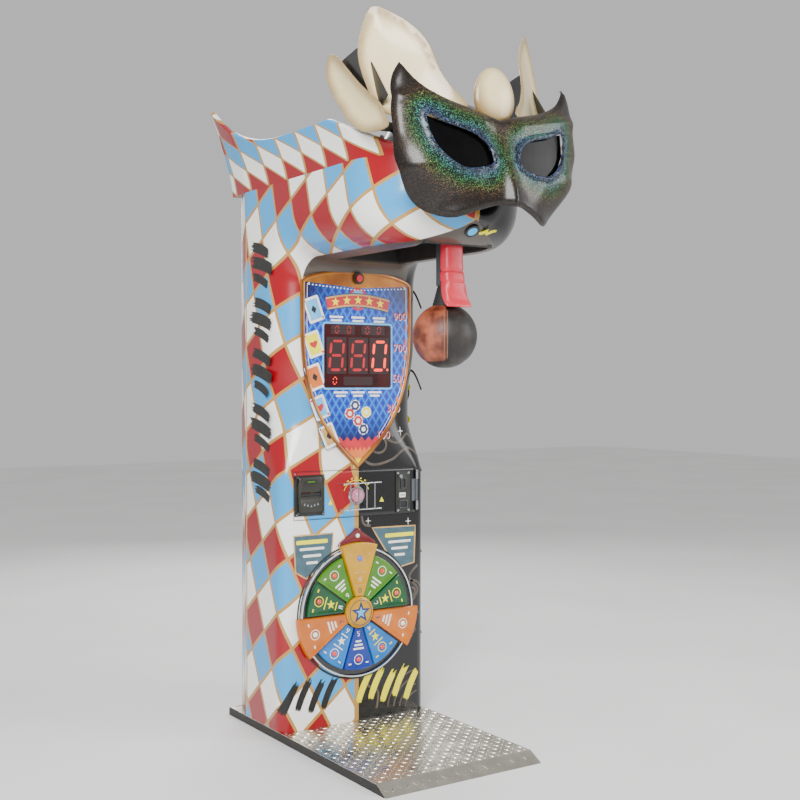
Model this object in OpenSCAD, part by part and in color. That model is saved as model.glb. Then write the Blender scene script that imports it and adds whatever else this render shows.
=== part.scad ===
// Boxing punch machine: a swinging ball under a long arm, a tall column with
// a score display, a coin door and a lit prize wheel, on a tread-plate platform.
// Units are millimetres. Origin: on the floor under the middle of the platform.
// +X is the player's right, +Y runs to the back, +Z is up.

/* [Platform] */
// Width of the platform
base_w = 600; // [590:1:760]
// Length of the platform, front to back
base_l = 1066; // [1060:1:1300]
// Height of the platform's board
board_h = 26; // [18:1:40]
// Thickness of the tread plate
plate_t = 3; // [2:0.5:5]
// Length of the plate's sloping front lip
lip_l = 54; // [30:1:80]

/* [Cabinet] */
// Width of the cabinet
body_w = 596; // [560:1:720]
// Width of the cabinet's back face
back_w = 504; // [440:1:550]
// Distance of the back face behind the origin
back_y = 522; // [490:1:530]
// Where the sides start to narrow towards the back
shoulder_y = 394; // [340:1:440]
// Distance of the front face behind the origin
front_y = 122; // [100:1:130]
// Height of the seam between the cabinet and its crown
seam_z = 1906; // [1890:1:2200]
// Wall of the cabinet moulding
wall = 6; // [4:0.5:8]
// Radius of the front corners at the bottom
corner_r = 45; // [35:1:48]
// Radius of the front corners at the waist
waist_r = 170; // [140:1:180]
// Radius of the front corners behind the display
shoulder_r = 118; // [90:1:130]

/* [Arm] */
// Height of the arm's underside
arm_z = 1645; // [1620:1:1660]
// Radius of the arm's lower edges
arm_r = 145; // [110:1:150]
// Where the nose starts to curve in
nose_start_y = -326; // [-360:1:-310]
// How far the nose reaches past that
nose_l = 258; // [240:1:280]
// Radius of the cove under the arm
cove_r = 78; // [60:1:80]

/* [Ball] */
// Diameter of the striking ball
ball_d = 205; // [190:1:210]
// Height of the ball's centre when it hangs
ball_z = 1373; // [1350:1:1390]
// Height of the pivot
pivot_z = 1712; // [1700:1:1725]
// Distance of the pivot in front of the origin
pivot_y = -414; // [-425:1:-405]
// Diameter of the pivot shaft
shaft_d = 20; // [16:1:24]

/* [Display] */
// Half width of the shield
shield_hw = 226; // [200:1:235]
// Height of the shield's lower tip
shield_tip_z = 925; // [922:1:960]
// Height of the shield's upper corners
shield_top_z = 1569; // [1540:1:1580]
// Rise of the arch between the upper corners
shield_arch = 53; // [40:1:60]
// Width of the shield's rim
shield_rim = 13; // [8:1:20]
// Depth of the shield's rim
shield_t = 14; // [10:1:20]

/* [Coin door] */
// Width of the door
door_w = 500; // [440:1:506]
// Height of the door
door_h = 166; // [150:1:170]
// Height of the door's middle
door_z = 836; // [825:1:837]
// Thickness of the door plate
door_t = 3; // [2:0.5:4]

/* [Prize wheel] */
// Outer radius of the wheel's rim ring
wheel_r = 231; // [200:1:240]
// Height of the wheel's centre
wheel_z = 417; // [400:1:420]
// Number of sectors
sectors = 10; // [8:2:10]
// Radius of the hub
hub_r = 56; // [40:1:60]

/* [Fits] */
// Clearance between pieces that sit beside each other
gap = 0.3; // [0.2:0.05:0.5]
// Radial clearance of a running shaft
run_gap = 0.05; // [0.02:0.01:0.09]

/* [Hidden] */
$fn = 64;

base_h = board_h + plate_t;
nose_y = nose_start_y - nose_l;
body_hw = body_w / 2;
tube = 30;
ball_r = ball_d / 2;
swing_l = pivot_z - ball_z;
sweep_r = swing_l + ball_r;
liner_hw = ball_r + 25.5;
liner_t = 4;
liner_y0 = pivot_y - 76;
liner_y1 = pivot_y + sweep_r + 13;
liner_z0 = arm_z + 5;
rail_z = pivot_z + 144;
rail_x = liner_hw + 12;
liner_z1 = rail_z - 4;
front_post_y = front_y + 113;
rear_post_y = back_y - 60;
// Thickness of the thin slices that the mouldings are blended between
slice = 1;

// ---- helpers -------------------------------------------------------------

function arc(cx, cy, r, a0, a1, n = 6) =
    [for (k = [0:n]) [cx + r * cos(a0 + (a1 - a0) * k / n), cy + r * sin(a0 + (a1 - a0) * k / n)]];

function smooth(t) = let (c = min(1, max(0, t))) c * c * (3 - 2 * c);

function mix(a, b, t) = a + (b - a) * t;

function flip(pts) = [for (k = [len(pts) - 1:-1:0]) [-pts[k][0], pts[k][1]]];

module mirror_x() {
    children();
    mirror([1, 0, 0]) children();
}

// A box given by its low and high corners
module block(lo, hi) {
    translate(lo) cube(hi - lo);
}

// A round bar along +X, +Y or +Z from a start point
module bar_x(p, r, l) {
    translate(p) rotate([0, 90, 0]) cylinder(h = l, r = r);
}

module bar_y(p, r, l) {
    translate(p) rotate([-90, 0, 0]) cylinder(h = l, r = r);
}

// A flat outline drawn in X and Z, given thickness along +Y from y
module front_plate(y, t) {
    translate([0, y + t, 0]) rotate([90, 0, 0]) linear_extrude(t) children();
}

// ---- cabinet surfaces ----------------------------------------------------

// Front corner radius of the column at a height
function column_r(z) =
    z < 1125 ? mix(corner_r, waist_r, smooth((z - 890) / 210))
             : mix(waist_r, shoulder_r, smooth((z - 1165) / 200));

// Front face of the column at a height: it coves forward under the arm
function column_front(z) =
    let (u = min(max(z - (arm_z - cove_r), 0), cove_r))
    front_y - (cove_r - sqrt(cove_r * cove_r - u * u));

function column_outline(z, inset) =
    let (hw = body_hw - inset, r = column_r(z) - inset, y = column_front(z) + inset,
         side = concat([[back_w / 2 - inset, back_y - inset], [hw, shoulder_y]],
                       arc(hw - r, y + r, r, 0, -90)))
    concat(side, flip(side));

// Inner face of the column's wall at a distance from the middle and a height
wall_chord = 0.6;   // how far a flat of the curved wall stands inside its arc
function column_inner(x, z) =
    let (r = column_r(z) - wall, u = max(0, x - (body_hw - wall - r)))
    column_front(z) + wall + r - sqrt(r * r - u * u);

module column_slice(z, inset) {
    translate([0, 0, z]) linear_extrude(slice) polygon(column_outline(z, inset));
}

// Half width and underside of the arm at a distance along Y
function arm_hw(y, inset) =
    let (u = max(0, nose_start_y - y) / (nose_l - inset))
    (body_hw - inset) * sqrt(max(0.0012, 1 - u * u));

function arm_under(y, inset) =
    let (rise_l = nose_l - 104, u = min(1, max(0, nose_start_y - 104 - y) / rise_l))
    arm_z + inset + 100 * (1 - sqrt(1 - u * u));

module arm_slice(y, inset) {
    hw = arm_hw(y, inset);
    z = arm_under(y, inset);
    r = min(arm_r - inset, hw);
    side = concat([[hw, seam_z]], arc(hw - r, z + r, r, 0, -90));
    translate([0, y + slice, 0]) rotate([90, 0, 0]) linear_extrude(slice)
        polygon(concat(side, flip(side)));
}

module body_solid(inset) {
    column_z = [base_h, 890, 935, 975, 1015, 1060, 1100, 1165, 1215, 1265, 1315, 1365,
                arm_z - cove_r, arm_z - 45, arm_z - 25, arm_z - 10, arm_z, seam_z - slice];
    for (k = [0:len(column_z) - 2]) hull() {
        column_slice(column_z[k], inset);
        column_slice(column_z[k + 1], inset);
    }
    nose_turns = [0, 15, 28, 40, 50, 58, 65, 71, 77, 82, 87];
    nose_reach = nose_l - inset;
    arm_y = concat([front_y + 60], [for (a = nose_turns) nose_start_y - nose_reach * sin(a)]);
    for (k = [0:len(arm_y) - 2]) hull() {
        arm_slice(arm_y[k], inset);
        arm_slice(arm_y[k + 1], inset);
    }
}

// ---- platform ------------------------------------------------------------

module base_board() {
    y0 = -base_l / 2;
    color("#23211f") translate([-base_w / 2, 0, 0]) rotate([90, 0, 90])
        linear_extrude(base_w)
            polygon([[base_l / 2, 0], [base_l / 2, board_h], [y0 + lip_l + 1, board_h],
                     [y0 + plate_t * 2.5, 0]]);
}

module tread_plate() {
    y0 = -base_l / 2;
    w = base_w - 4;
    color("#c9c8c2") translate([-w / 2, 0, 0]) rotate([90, 0, 90]) linear_extrude(w)
        polygon([[base_l / 2, board_h], [base_l / 2, base_h], [y0 + lip_l, base_h], [y0, 0],
                 [y0 + plate_t * 2.5, 0], [y0 + lip_l + 1, board_h]]);
}

// ---- cabinet -------------------------------------------------------------

module cabinet_shell() {
    window_hw = 150;
    color("#e9e4dc") difference() {
        body_solid(0);
        body_solid(wall);
        // open foot and open top
        block([-body_hw + 60, front_y + 60, base_h - 1], [body_hw - 60, back_y - 20, base_h + 1]);
        block([-body_hw + wall, nose_start_y, seam_z - 1], [body_hw - wall, shoulder_y, seam_z + 1]);
        // opening that the ball swings up into
        block([-liner_hw - gap, liner_y0 - gap, arm_z - 60], [liner_hw + gap, liner_y1 + gap, arm_z + 60]);
        // seat of the shield, where the cove comes forward, and the window behind it
        front_plate(front_y - 60, 60) shield_outline(-gap);
        block([-window_hw, front_y - 20, 1190], [window_hw, front_y + 40, 1450]);
        // coin door
        block([-door_w / 2 - 1.5, front_y - 20, door_z - door_h / 2 - 1.5],
              [door_w / 2 + 1.5, front_y + 40, door_z + door_h / 2 + 1.5]);
        // wiring hole behind the prize wheel
        bar_y([0, front_y - 20, wheel_z], wheel_r - 80, 60);
        // reset and start buttons
        bar_y([0, front_y - 20, reset_z], 14.5, 60);
        at_start() translate([0, 0, -30]) cylinder(h = 60, r = start_r + 0.5);
        // service door, power inlet and vents in the back
        block([-rear_w / 2 - 1.5, back_y - 40, rear_z - rear_h / 2 - 1.5],
              [rear_w / 2 + 1.5, back_y + 20, rear_z + rear_h / 2 + 1.5]);
        block([inlet_x - 24.5, back_y - 40, inlet_z - 14.5], [inlet_x + 24.5, back_y + 20, inlet_z + 14.5]);
        for (k = [0:5]) block([-90, back_y - 40, 1620 + k * 22], [90, back_y + 20, 1630 + k * 22]);
    }
}

// Square upright of the frame, from the platform to a height
module post(x, y, top) {
    half = tube / 2;
    block([x - half, y - half, base_h], [x + half, y + half, top]);
}

module column_frame() {
    front_x = body_hw - 43;
    rear_x = back_w / 2 - 30;
    top = rail_z + tube;
    color("#3b3f45") union() {
        mirror_x() {
            post(front_x, front_post_y, top);
            post(rear_x, rear_post_y, top);
            for (z = [base_h, 700, 1140, 1520, rail_z])
                block([rear_x - tube / 2, front_post_y, z], [rear_x + tube / 2, rear_post_y, z + tube]);
        }
        for (z = [base_h, 700, 940, 1480, rail_z])
            block([-front_x, front_post_y - tube / 2, z], [front_x, front_post_y + tube / 2, z + tube]);
        block([cash_x0 - 8, front_y + 12, cash_z - 6], [front_x, front_post_y, cash_z]);
        for (z = [base_h, 1400, rail_z])
            block([-rear_x, rear_post_y - tube / 2, z], [rear_x, rear_post_y + tube / 2, z + tube]);
    }
}

module arm_frame() {
    y0 = liner_y0 + 4;
    y1 = front_post_y - tube / 2;
    color("#3b3f45") union() {
        mirror_x() block([rail_x, y0, rail_z], [rail_x + tube, y1, rail_z + tube]);
        for (y = [y0, pivot_y + 60, pivot_y + 330])
            block([-rail_x - 1, y, rail_z], [rail_x + 1, y + tube, rail_z + tube]);
    }
}

// Lean and height of the crown's flared flank at a distance along Y
function crown_flare(y) = 36 + 54 * pow(max(0, (y + 100) / (back_y + 100)), 2.2);
function crown_top(y) =
    y < -260 ? mix(seam_z + 2, seam_z + 134, pow(max(0, 1 - (-260 - y) / 270), 0.8))
             : seam_z + 138 + 166 * pow(max(0, (y + 40) / (back_y + 40)), 3);

function crown_foot(y) =
    y < nose_start_y ? arm_hw(y, 0)
    : y > shoulder_y ? mix(body_hw, back_w / 2 + 34, (y - shoulder_y) / (back_y - shoulder_y))
    : body_hw;

function crown_ring(y) =
    let (hw = crown_foot(y), top = crown_top(y),
         out = crown_flare(y) * min(1, (top - seam_z) / 134))
    [[hw - 12, y, seam_z + gap], [hw, y, seam_z + gap],
     [hw + out * 0.36, y, mix(seam_z, top, 0.5)], [hw + out, y, top], [hw + out - 22, y, top + 2]];

// Skin over a list of rings with equally many points, closed at both ends
module loft(rings) {
    n = len(rings[0]);
    m = len(rings);
    sides = [for (i = [0:m - 2], k = [0:n - 1], half = [0, 1])
        let (a = i * n + k, b = i * n + (k + 1) % n, c = a + n, d = b + n)
        half == 0 ? [a, d, b] : [a, c, d]];
    ends = [[for (k = [0:n - 1]) k], [for (k = [n - 1:-1:0]) (m - 1) * n + k]];
    polyhedron([for (r = rings) each r], concat(sides, ends));
}

module crown() {
    crown_y = [back_y, 485, 440, 390, 320, 220, 100, -60, -260, -330, -400, -460, -505];
    color("#e9e4dc") union() {
        mirror_x() loft([for (y = crown_y) crown_ring(y)]);
        block([-body_hw + 9, nose_start_y, seam_z + 1], [body_hw - 9, shoulder_y, seam_z + 6]);
        block([-back_w / 2 - 20, shoulder_y, seam_z + 1], [back_w / 2 + 20, back_y, seam_z + 6]);
        block([-200, -510, seam_z + 1], [200, nose_start_y, seam_z + 6]);
    }
}

// Black lining of the space that the ball swings into, with lugs for the stops
module arm_liner() {
    tab_x = 72;
    color("#2b2a28") difference() {
        block([-liner_hw, liner_y0, liner_z0], [liner_hw, liner_y1, liner_z1]);
        difference() {
            block([-liner_hw + liner_t, liner_y0 + liner_t, liner_z0 - 1],
                  [liner_hw - liner_t, liner_y1 - liner_t, liner_z1 - liner_t]);
            block([tab_x - 12, pivot_y + 34, pivot_z + 40], [tab_x + 12, pivot_y + 48, liner_z1]);
            block([tab_x - 12, liner_y0, pivot_z - 44], [tab_x + 12, pivot_y - 34, pivot_z - 32]);
        }
        bar_x([-liner_hw - 1, pivot_y, pivot_z], shaft_d / 2 + 5, 2 * liner_hw + 2);
    }
}

// ---- service door in the back -------------------------------------------

rear_w = 340;
rear_h = 900;
rear_z = 700;
rear_pin_x = rear_w / 2 + 6;
rear_pin_y = back_y + 5;

module rear_door() {
    knuckle_h = 40;
    color("#26282b") union() {
        difference() {
            union() {
                block([-rear_w / 2, back_y - 3, rear_z - rear_h / 2],
                      [rear_w / 2, back_y, rear_z + rear_h / 2]);
                for (z = [-300, 300])
                    block([rear_w / 2 - 25, back_y, rear_z + z - knuckle_h / 2],
                          [rear_pin_x - 4.5, back_y + 2, rear_z + z + knuckle_h / 2]);
                for (z = [-300, 300]) translate([rear_pin_x, rear_pin_y, rear_z + z - knuckle_h / 2])
                    cylinder(h = knuckle_h, r = 5);
                for (z = [-300, 300])
                    block([rear_pin_x - 6, back_y, rear_z + z - knuckle_h / 2],
                          [rear_pin_x, back_y + 2, rear_z + z + knuckle_h / 2]);
            }
            for (z = [-300, 300]) translate([rear_pin_x, rear_pin_y, rear_z + z - knuckle_h])
                cylinder(h = 2 * knuckle_h, r = 2.5 + run_gap);
            bar_y([-rear_w / 2 + 30, back_y - 10, rear_z], 9 + run_gap, 20);
            for (k = [0:7]) translate([0, 0, rear_z - 330 + k * 20])
                block([-90, back_y - 10, 0], [90, back_y + 10, 8]);
        }
    }
}

module rear_hinges() {
    color("#8d9094") for (z = [-300, 300]) translate([0, 0, rear_z + z]) union() {
        translate([rear_pin_x, rear_pin_y, -44]) cylinder(h = 88, r = 2.5);
        for (s = [-1, 1]) translate([rear_pin_x, rear_pin_y, s * 32 - 11.5]) cylinder(h = 23, r = 5);
        for (s = [-1, 1]) translate([rear_pin_x, back_y, s * 32])
            block([0, gap, -11.5], [26, 2, 11.5]);
    }
}

module rear_lock() {
    color("#b9bcc0") union() {
        bar_y([-rear_w / 2 + 30, back_y - 12, rear_z], 9, 15);
        bar_y([-rear_w / 2 + 30, back_y + gap, rear_z], 12, 4);
        block([-rear_w / 2 + 22, back_y - 15, rear_z - 8], [-rear_w / 2 + 38, back_y - 12, rear_z + 34]);
    }
}

// ---- head ----------------------------------------------------------------

mask_y = -720;
mask_z = 1900;
mask_lean = 10.2;

// Plan curve of the mask's face
function mask_plan(x) = 0.00042 * x * x + 0.0063 * pow(max(0, abs(x) - 240), 2);

module mask_band(back, t) {
    xs = [for (x = [-350:25:350]) x];
    front = [for (x = xs) [x, mask_plan(x) + back]];
    rear = [for (k = [len(xs) - 1:-1:0]) [xs[k], mask_plan(xs[k]) + back + t]];
    translate([0, 0, -260]) linear_extrude(560) polygon(concat(front, rear));
}

module mask_outline() {
    half = [[0, 105], [28, 112], [95, 130], [176, 153], [250, 188], [306, 236], [330, 205], [345, 150],
            [347, 70], [345, 5], [335, -70], [310, -133], [262, -178], [199, -191], [154, -186],
            [91, -170], [40, -160], [0, -172]];
    polygon(concat(half, flip(half)));
}

module eye_outline(grow) {
    pts = [[251, 92], [195, 71], [112, 47], [67, 18], [53, -18], [58, -42], [120, -58], [165, -54],
           [210, -20], [240, 26]];
    mid = [155, 10];
    polygon([for (p = pts) mid + (p - mid) * (1 + grow / norm(p - mid))]);
}

module at_mask() {
    translate([0, mask_y, mask_z]) rotate([-mask_lean, 0, 0]) children();
}

module mask() {
    color("#2a2c28") at_mask() {
        difference() {
            intersection() {
                mask_band(0, 9);
                front_plate(-20, 200) mask_outline();
            }
            front_plate(-20, 200) mirror_x() eye_outline(0);
        }
        // nose ridge
        hull() {
            translate([-26, -2, -160]) cube([52, 8, 4]);
            translate([-4, -30, -166]) cube([8, 30, 4]);
            translate([-12, -6, 20]) cube([24, 12, 4]);
        }
    }
}

module eye_lenses() {
    color("#0b0b0c") at_mask() intersection() {
        mask_band(9 + gap, 4);
        front_plate(-20, 200) mirror_x() eye_outline(9);
    }
}

core_y = -420;
core_r = 212;
core_h = 190;
core_z = seam_z + 6 + gap;

// Solid of the rounded core, grown by a given amount
module core_shape(grow) {
    turns = [0:10:90];
    translate([0, core_y, core_z]) rotate_extrude()
        polygon(concat([[0, -1]], [for (a = turns) [(core_r + grow) * cos(a), (core_h + grow) * sin(a)]]));
}

// Rounded black core behind the mask, seated on the crown's roof
module head_core() {
    color("#1d1d1f") difference() {
        core_shape(0);
        core_shape(-8);
        translate([-core_r, core_y - core_r, core_z - 2]) cube([2 * core_r, 2 * core_r, 2]);
    }
}

petal_lean = 25;
petal_turn = 9.8;
petal_t = 12;

// Plane of the player's left petal: x across, y up the petal, z forwards
module at_side_petal() {
    translate([0, -642, 2037]) rotate([90 - petal_lean, 0, -petal_turn]) children();
}

module side_petals() {
    outline = [[-81, -12], [-116, 47], [-147, 112], [-165, 202], [-204, 263], [-258, 309], [-321, 339],
               [-358, 289], [-388, 217], [-400, 150], [-390, 66], [-374, 5], [-330, -40], [-200, -60]];
    color("#d8ccb0") mirror_x() difference() {
        at_side_petal() linear_extrude(petal_t, center = true) polygon(outline);
        at_mask() mask_band(-60, 69 + gap);
    }
}

rear_petal_x = 318;

module rear_petals() {
    outline = [[-254, 2234], [-302, 2222], [-430, 2117], [-543, 2037], [-576, 1989], [-585, 1960],
               [-470, 1965], [-380, 2010], [-330, 2060], [-290, 2100], [-242, 2172]];
    color("#d8ccb0") mirror_x() translate([-rear_petal_x, 0, 0]) rotate([90, 0, 90])
        translate([0, 0, -10]) linear_extrude(10) polygon(outline);
}

centre_petal_y = -676;
centre_petal_t = 24;

module centre_petal() {
    outline = [for (a = [0:15:345]) [74 * cos(a) * (1 - 0.12 * sin(a)), 2076 + 84 * sin(a)]];
    color("#cdb995") front_plate(centre_petal_y, centre_petal_t) polygon(outline);
}

// Welded bracket that carries the mask and the petals on the core
module head_bracket() {
    z0 = mask_z + 20;
    petal_back = centre_petal_y + centre_petal_t + gap;
    color("#3b3f45") difference() {
        union() {
            block([-30, mask_y + 22.6, z0], [30, core_y - core_r + 20, z0 + 50]);
            difference() {
                mirror_x() at_side_petal() translate([-300, -36, -petal_t / 2 - gap - 10])
                    cube([300, 24, 10]);
                block([-200, core_y - core_r - 300, z0 + 140], [200, core_y, z0 + 300]);
            }
            block([-24, petal_back, z0 + 50], [24, petal_back + 30, z0 + 120]);
            mirror_x() block([150, core_y - 20, core_z + 80],
                             [rear_petal_x - gap, core_y + 20, core_z + 100]);
        }
        core_shape(gap);
    }
}

// ---- ball mechanism ------------------------------------------------------

disc_x = rail_x + 26;

module pivot_shaft() {
    l = 2 * (disc_x + 16);
    color("#a9adb2") bar_x([-l / 2, pivot_y, pivot_z], shaft_d / 2, l);
}

module bearing_blocks() {
    color("#5d6268") mirror_x() difference() {
        block([liner_hw + 8, pivot_y - 45, pivot_z - 32], [liner_hw + 32, pivot_y + 45, rail_z]);
        bar_x([liner_hw, pivot_y, pivot_z], shaft_d / 2 + run_gap, 60);
    }
}

module swing_lever() {
    tab_x = 72;
    color("#33353a") difference() {
        union() {
            bar_x([-80, pivot_y, pivot_z], 26, 160);
            block([-26, pivot_y - 11, ball_z + 157], [26, pivot_y + 11, pivot_z - 15]);
            block([tab_x - 8, pivot_y - 10, pivot_z + 15], [tab_x + 8, pivot_y + 10, pivot_z + 62]);
            translate([0, pivot_y, ball_z + 27]) cylinder(h = 140, r = 10);
        }
        bar_x([-90, pivot_y, pivot_z], shaft_d / 2, 180);
    }
}

module ball_neck() {
    color("#1b1b1c") translate([0, pivot_y, ball_z + 83]) difference() {
        cylinder(h = 74, r1 = 45.5, r2 = 24);
        translate([0, 0, -1]) cylinder(h = 80, r = 10);
    }
}

module striking_ball() {
    color("#b9714f") translate([0, pivot_y, ball_z]) difference() {
        sphere(r = ball_r, $fn = 96);
        translate([0, 0, 83]) cylinder(h = 60, r = 46);
        translate([0, 0, 27]) cylinder(h = 100, r = 10);
    }
}

// Padded cover in front of the lever, flared over the ball
module lever_cover() {
    front = pivot_y - 11;
    color("#e03a50") {
        hull() {
            block([-34, front - 44, pivot_z - 50], [34, front, pivot_z - 38]);
            block([-38, front - 50, ball_z + 192], [38, front, ball_z + 204]);
        }
        hull() {
            block([-38, front - 52, ball_z + 186], [38, front, ball_z + 192]);
            block([-46, front - 92, ball_z + 83], [46, front - 56, ball_z + 94]);
            block([-46, front - 56, ball_z + 102], [46, front - 50, ball_z + 106]);
        }
    }
}

module stop_buffers() {
    tab_x = 72;
    color("#151515") {
        bar_y([tab_x, pivot_y + 10 + gap, pivot_z + 50], 9, 24 - gap);
        translate([tab_x, pivot_y - 50, pivot_z - 32]) cylinder(h = 22 - gap, r = 9);
    }
}

module speed_disc() {
    color("#c7cacd") translate([disc_x, pivot_y, pivot_z]) rotate([0, 90, 0]) difference() {
        cylinder(h = 3, r = 38);
        translate([0, 0, -1]) cylinder(h = 5, r = shaft_d / 2);
        for (k = [0:17]) rotate([0, 0, k * 20]) translate([30, -1.5, -1]) cube([6, 3, 5]);
    }
}

module speed_sensor() {
    z0 = pivot_z + 30;
    color("#1f5f3a") translate([disc_x, pivot_y, 0]) difference() {
        block([liner_hw + 32 + gap - disc_x, -9, z0], [14, 9, z0 + 26]);
        block([-3, -20, z0 - 1], [6, 20, z0 + 16]);
    }
}

module latch_cam() {
    color("#8d9094") translate([-disc_x - 8, pivot_y, pivot_z]) rotate([0, 90, 0]) difference() {
        cylinder(h = 8, r = 34);
        translate([0, 0, -1]) cylinder(h = 10, r = shaft_d / 2);
        // notch that the hook drops into when the ball is up
        translate([-6, -40, -1]) cube([12, 16, 10]);
    }
}

latch_pin_y = pivot_y + 70;
latch_pin_z = pivot_z + 62;

module latch_hook() {
    x0 = -disc_x - 8;
    color("#6d7176") difference() {
        union() {
            bar_x([x0, latch_pin_y, latch_pin_z], 9, 8);
            block([x0, pivot_y - 4, latch_pin_z - 6], [x0 + 8, latch_pin_y, latch_pin_z + 6]);
            block([x0, pivot_y - 4, pivot_z + 34 + gap], [x0 + 8, pivot_y + 5, latch_pin_z]);
            block([x0, latch_pin_y, latch_pin_z - 5], [x0 + 8, latch_pin_y + 40, latch_pin_z + 5]);
        }
        bar_x([x0 - 1, latch_pin_y, latch_pin_z], 3 + run_gap, 10);
    }
}

module latch_bracket() {
    x0 = -disc_x - 8;
    color("#6d7176") union() {
        bar_x([x0 - 3, latch_pin_y, latch_pin_z], 3, -x0 - rail_x - 16);
        block([-rail_x - 24, latch_pin_y - 12, latch_pin_z - 10], [-rail_x - 16, latch_pin_y + 12, rail_z]);
    }
}

solenoid_y = latch_pin_y + 33;

module latch_solenoid() {
    x = -disc_x - 4;
    color("#b98a2f") difference() {
        block([x - 16, solenoid_y - 16, latch_pin_z + 18], [x + 16, solenoid_y + 16, rail_z - gap]);
        translate([x, solenoid_y, latch_pin_z + 10]) cylinder(h = 50, r = 5 + run_gap);
    }
}

module solenoid_plunger() {
    x = -disc_x - 4;
    color("#c7cacd") translate([x, solenoid_y, latch_pin_z + 5 + gap]) cylinder(h = 36, r = 5);
}

// ---- buttons -------------------------------------------------------------

start_r = 24;
start_tilt = 52;

// Frame on the nose's centre line, +Z pointing out of the surface
module at_start() {
    translate([0, nose_start_y - nose_l * 0.888, arm_z + 44]) rotate([90 + start_tilt, 0, 0]) children();
}

module start_bezel() {
    color("#121212") at_start() difference() {
        union() {
            translate([0, 0, -14]) cylinder(h = 19, r = start_r);
            translate([0, 0, -34]) cylinder(h = 21, r = 19);
        }
        translate([0, 0, -8]) cylinder(h = 30, r = 16 + gap);
        translate([0, 0, -40]) cylinder(h = 40, r = 8 + run_gap);
    }
}

module start_cap() {
    color("#27b4e8") at_start() union() {
        translate([0, 0, -4]) cylinder(h = 10, r = 16);
        translate([0, 0, -28]) cylinder(h = 26, r = 8);
    }
}

reset_z = 1592;

module reset_bezel() {
    y = front_y - shield_t - 6;
    color("#151515") difference() {
        union() {
            bar_y([0, y, reset_z], 20, 5);
            bar_y([0, y, reset_z], 13.9, shield_t + 34);
        }
        bar_y([0, y - 1, reset_z], 12 + gap, 16);
        bar_y([0, y, reset_z], 5 + run_gap, 80);
    }
}

module reset_cap() {
    y = front_y - shield_t - 11;
    color("#d21522") union() {
        bar_y([0, y, reset_z], 12, 10);
        bar_y([0, y, reset_z], 5, 40);
    }
}

// ---- display shield ------------------------------------------------------

// Shield outline: a flat arch over sides that run into a tip
function shield_side(inset) =
    let (hw = shield_hw - inset, tip = shield_tip_z + inset * 1.5, shoulder = shield_top_z - 69)
    [for (u = [1, 0.96, 0.9, 0.82, 0.73, 0.63, 0.52, 0.4, 0.25, 0])
        [hw * (1 - pow(u, 3.2)), shoulder - (shoulder - tip) * u]];

module shield_outline(inset) {
    hw = shield_hw - inset;
    top = shield_top_z - inset;
    sag_r = (hw * hw + shield_arch * shield_arch) / (2 * shield_arch);
    half_turn = asin(hw / sag_r);
    arch = [for (a = [half_turn:-half_turn / 8:0.01])
        [sag_r * sin(a), top + shield_arch - sag_r * (1 - cos(a))]];
    half = concat(shield_side(inset), [[hw, top - 20]], arch);
    polygon(concat(half, [[0, top + shield_arch]], flip(half)));
}

module shield_frame() {
    color("#c99a3c") difference() {
        front_plate(front_y - shield_t, shield_t - gap) shield_outline(0);
        front_plate(front_y - shield_t - 1, 8) shield_outline(shield_rim);
        front_plate(front_y - 10, 20) shield_outline(shield_rim + 8);
        bar_y([0, front_y - 40, reset_z], 14.2, 60);
    }
}

module shield_panel() {
    color("#1d55c4") difference() {
        front_plate(front_y - shield_t + 3, 4 - gap) shield_outline(shield_rim + gap);
        bar_y([0, front_y - 40, reset_z], 14.2, 60);
    }
}

module display_board() {
    y = front_y + wall + 8;
    digit_t = 18;
    color("#0f4a2a") union() {
        block([-165, y, 1185], [165, y + 2, 1455]);
        for (x = [-88, 0, 88]) block([x - 38, y - digit_t, 1262], [x + 38, y, 1380]);
        for (x = [-62, 62]) block([x - 48, y - digit_t, 1392], [x + 48, y, 1430]);
        block([-60, y - digit_t, 1215], [60, y, 1248]);
        for (x = [-158, 158], z = [1193, 1447]) {
            seat = column_inner(abs(x) + 4, z) + gap + wall_chord;
            bar_y([x, seat, z], 4, y + 1 - seat);
        }
    }
}

// ---- coin door -----------------------------------------------------------

door_pin_x = door_w / 2 + 4.5;
door_pin_y = front_y - 4.5;

module coin_door() {
    color("#5d86a8") difference() {
        union() {
            block([-door_w / 2, front_y, door_z - door_h / 2],
                  [door_w / 2, front_y + door_t, door_z + door_h / 2]);
            block([door_w / 2 - 14, front_y - 1.5, door_z - 40], [door_pin_x, front_y, door_z + 40]);
            translate([door_pin_x, door_pin_y, door_z - 40]) cylinder(h = 80, r = 4);
        }
        translate([door_pin_x, door_pin_y, door_z - 50]) cylinder(h = 100, r = 2 + run_gap);
        // note slot, coin slot, return button and lamp lead
        block([note_x - 40, front_y - 5, note_z - 10], [note_x + 40, front_y + 10, note_z + 22]);
        block([coin_x - 4, front_y - 5, coin_z + 14], [coin_x + 4, front_y + 10, coin_z + 48]);
        bar_y([coin_x - 14, front_y - 5, coin_z + 56], 6, 20);
        block([coin_x - 14, front_y - 5, coin_z - 56], [coin_x + 14, front_y + 10, coin_z - 34]);
        bar_y([lamp_x, front_y - 5, lamp_z], 6, 20);
    }
}

module door_hinge() {
    color("#8d9094") union() {
        translate([door_pin_x, door_pin_y, door_z - 72]) cylinder(h = 144, r = 2);
        for (s = [-1, 1]) translate([door_pin_x, door_pin_y, door_z + s * 56.5 - 16]) cylinder(h = 32, r = 4);
        for (s = [-1, 1]) block([door_pin_x, front_y - 1.5 - gap, door_z + s * 56.5 - 16],
                                [door_pin_x + 9, front_y - gap, door_z + s * 56.5 + 16]);
    }
}

note_x = -191;
note_z = door_z + 1;

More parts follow.
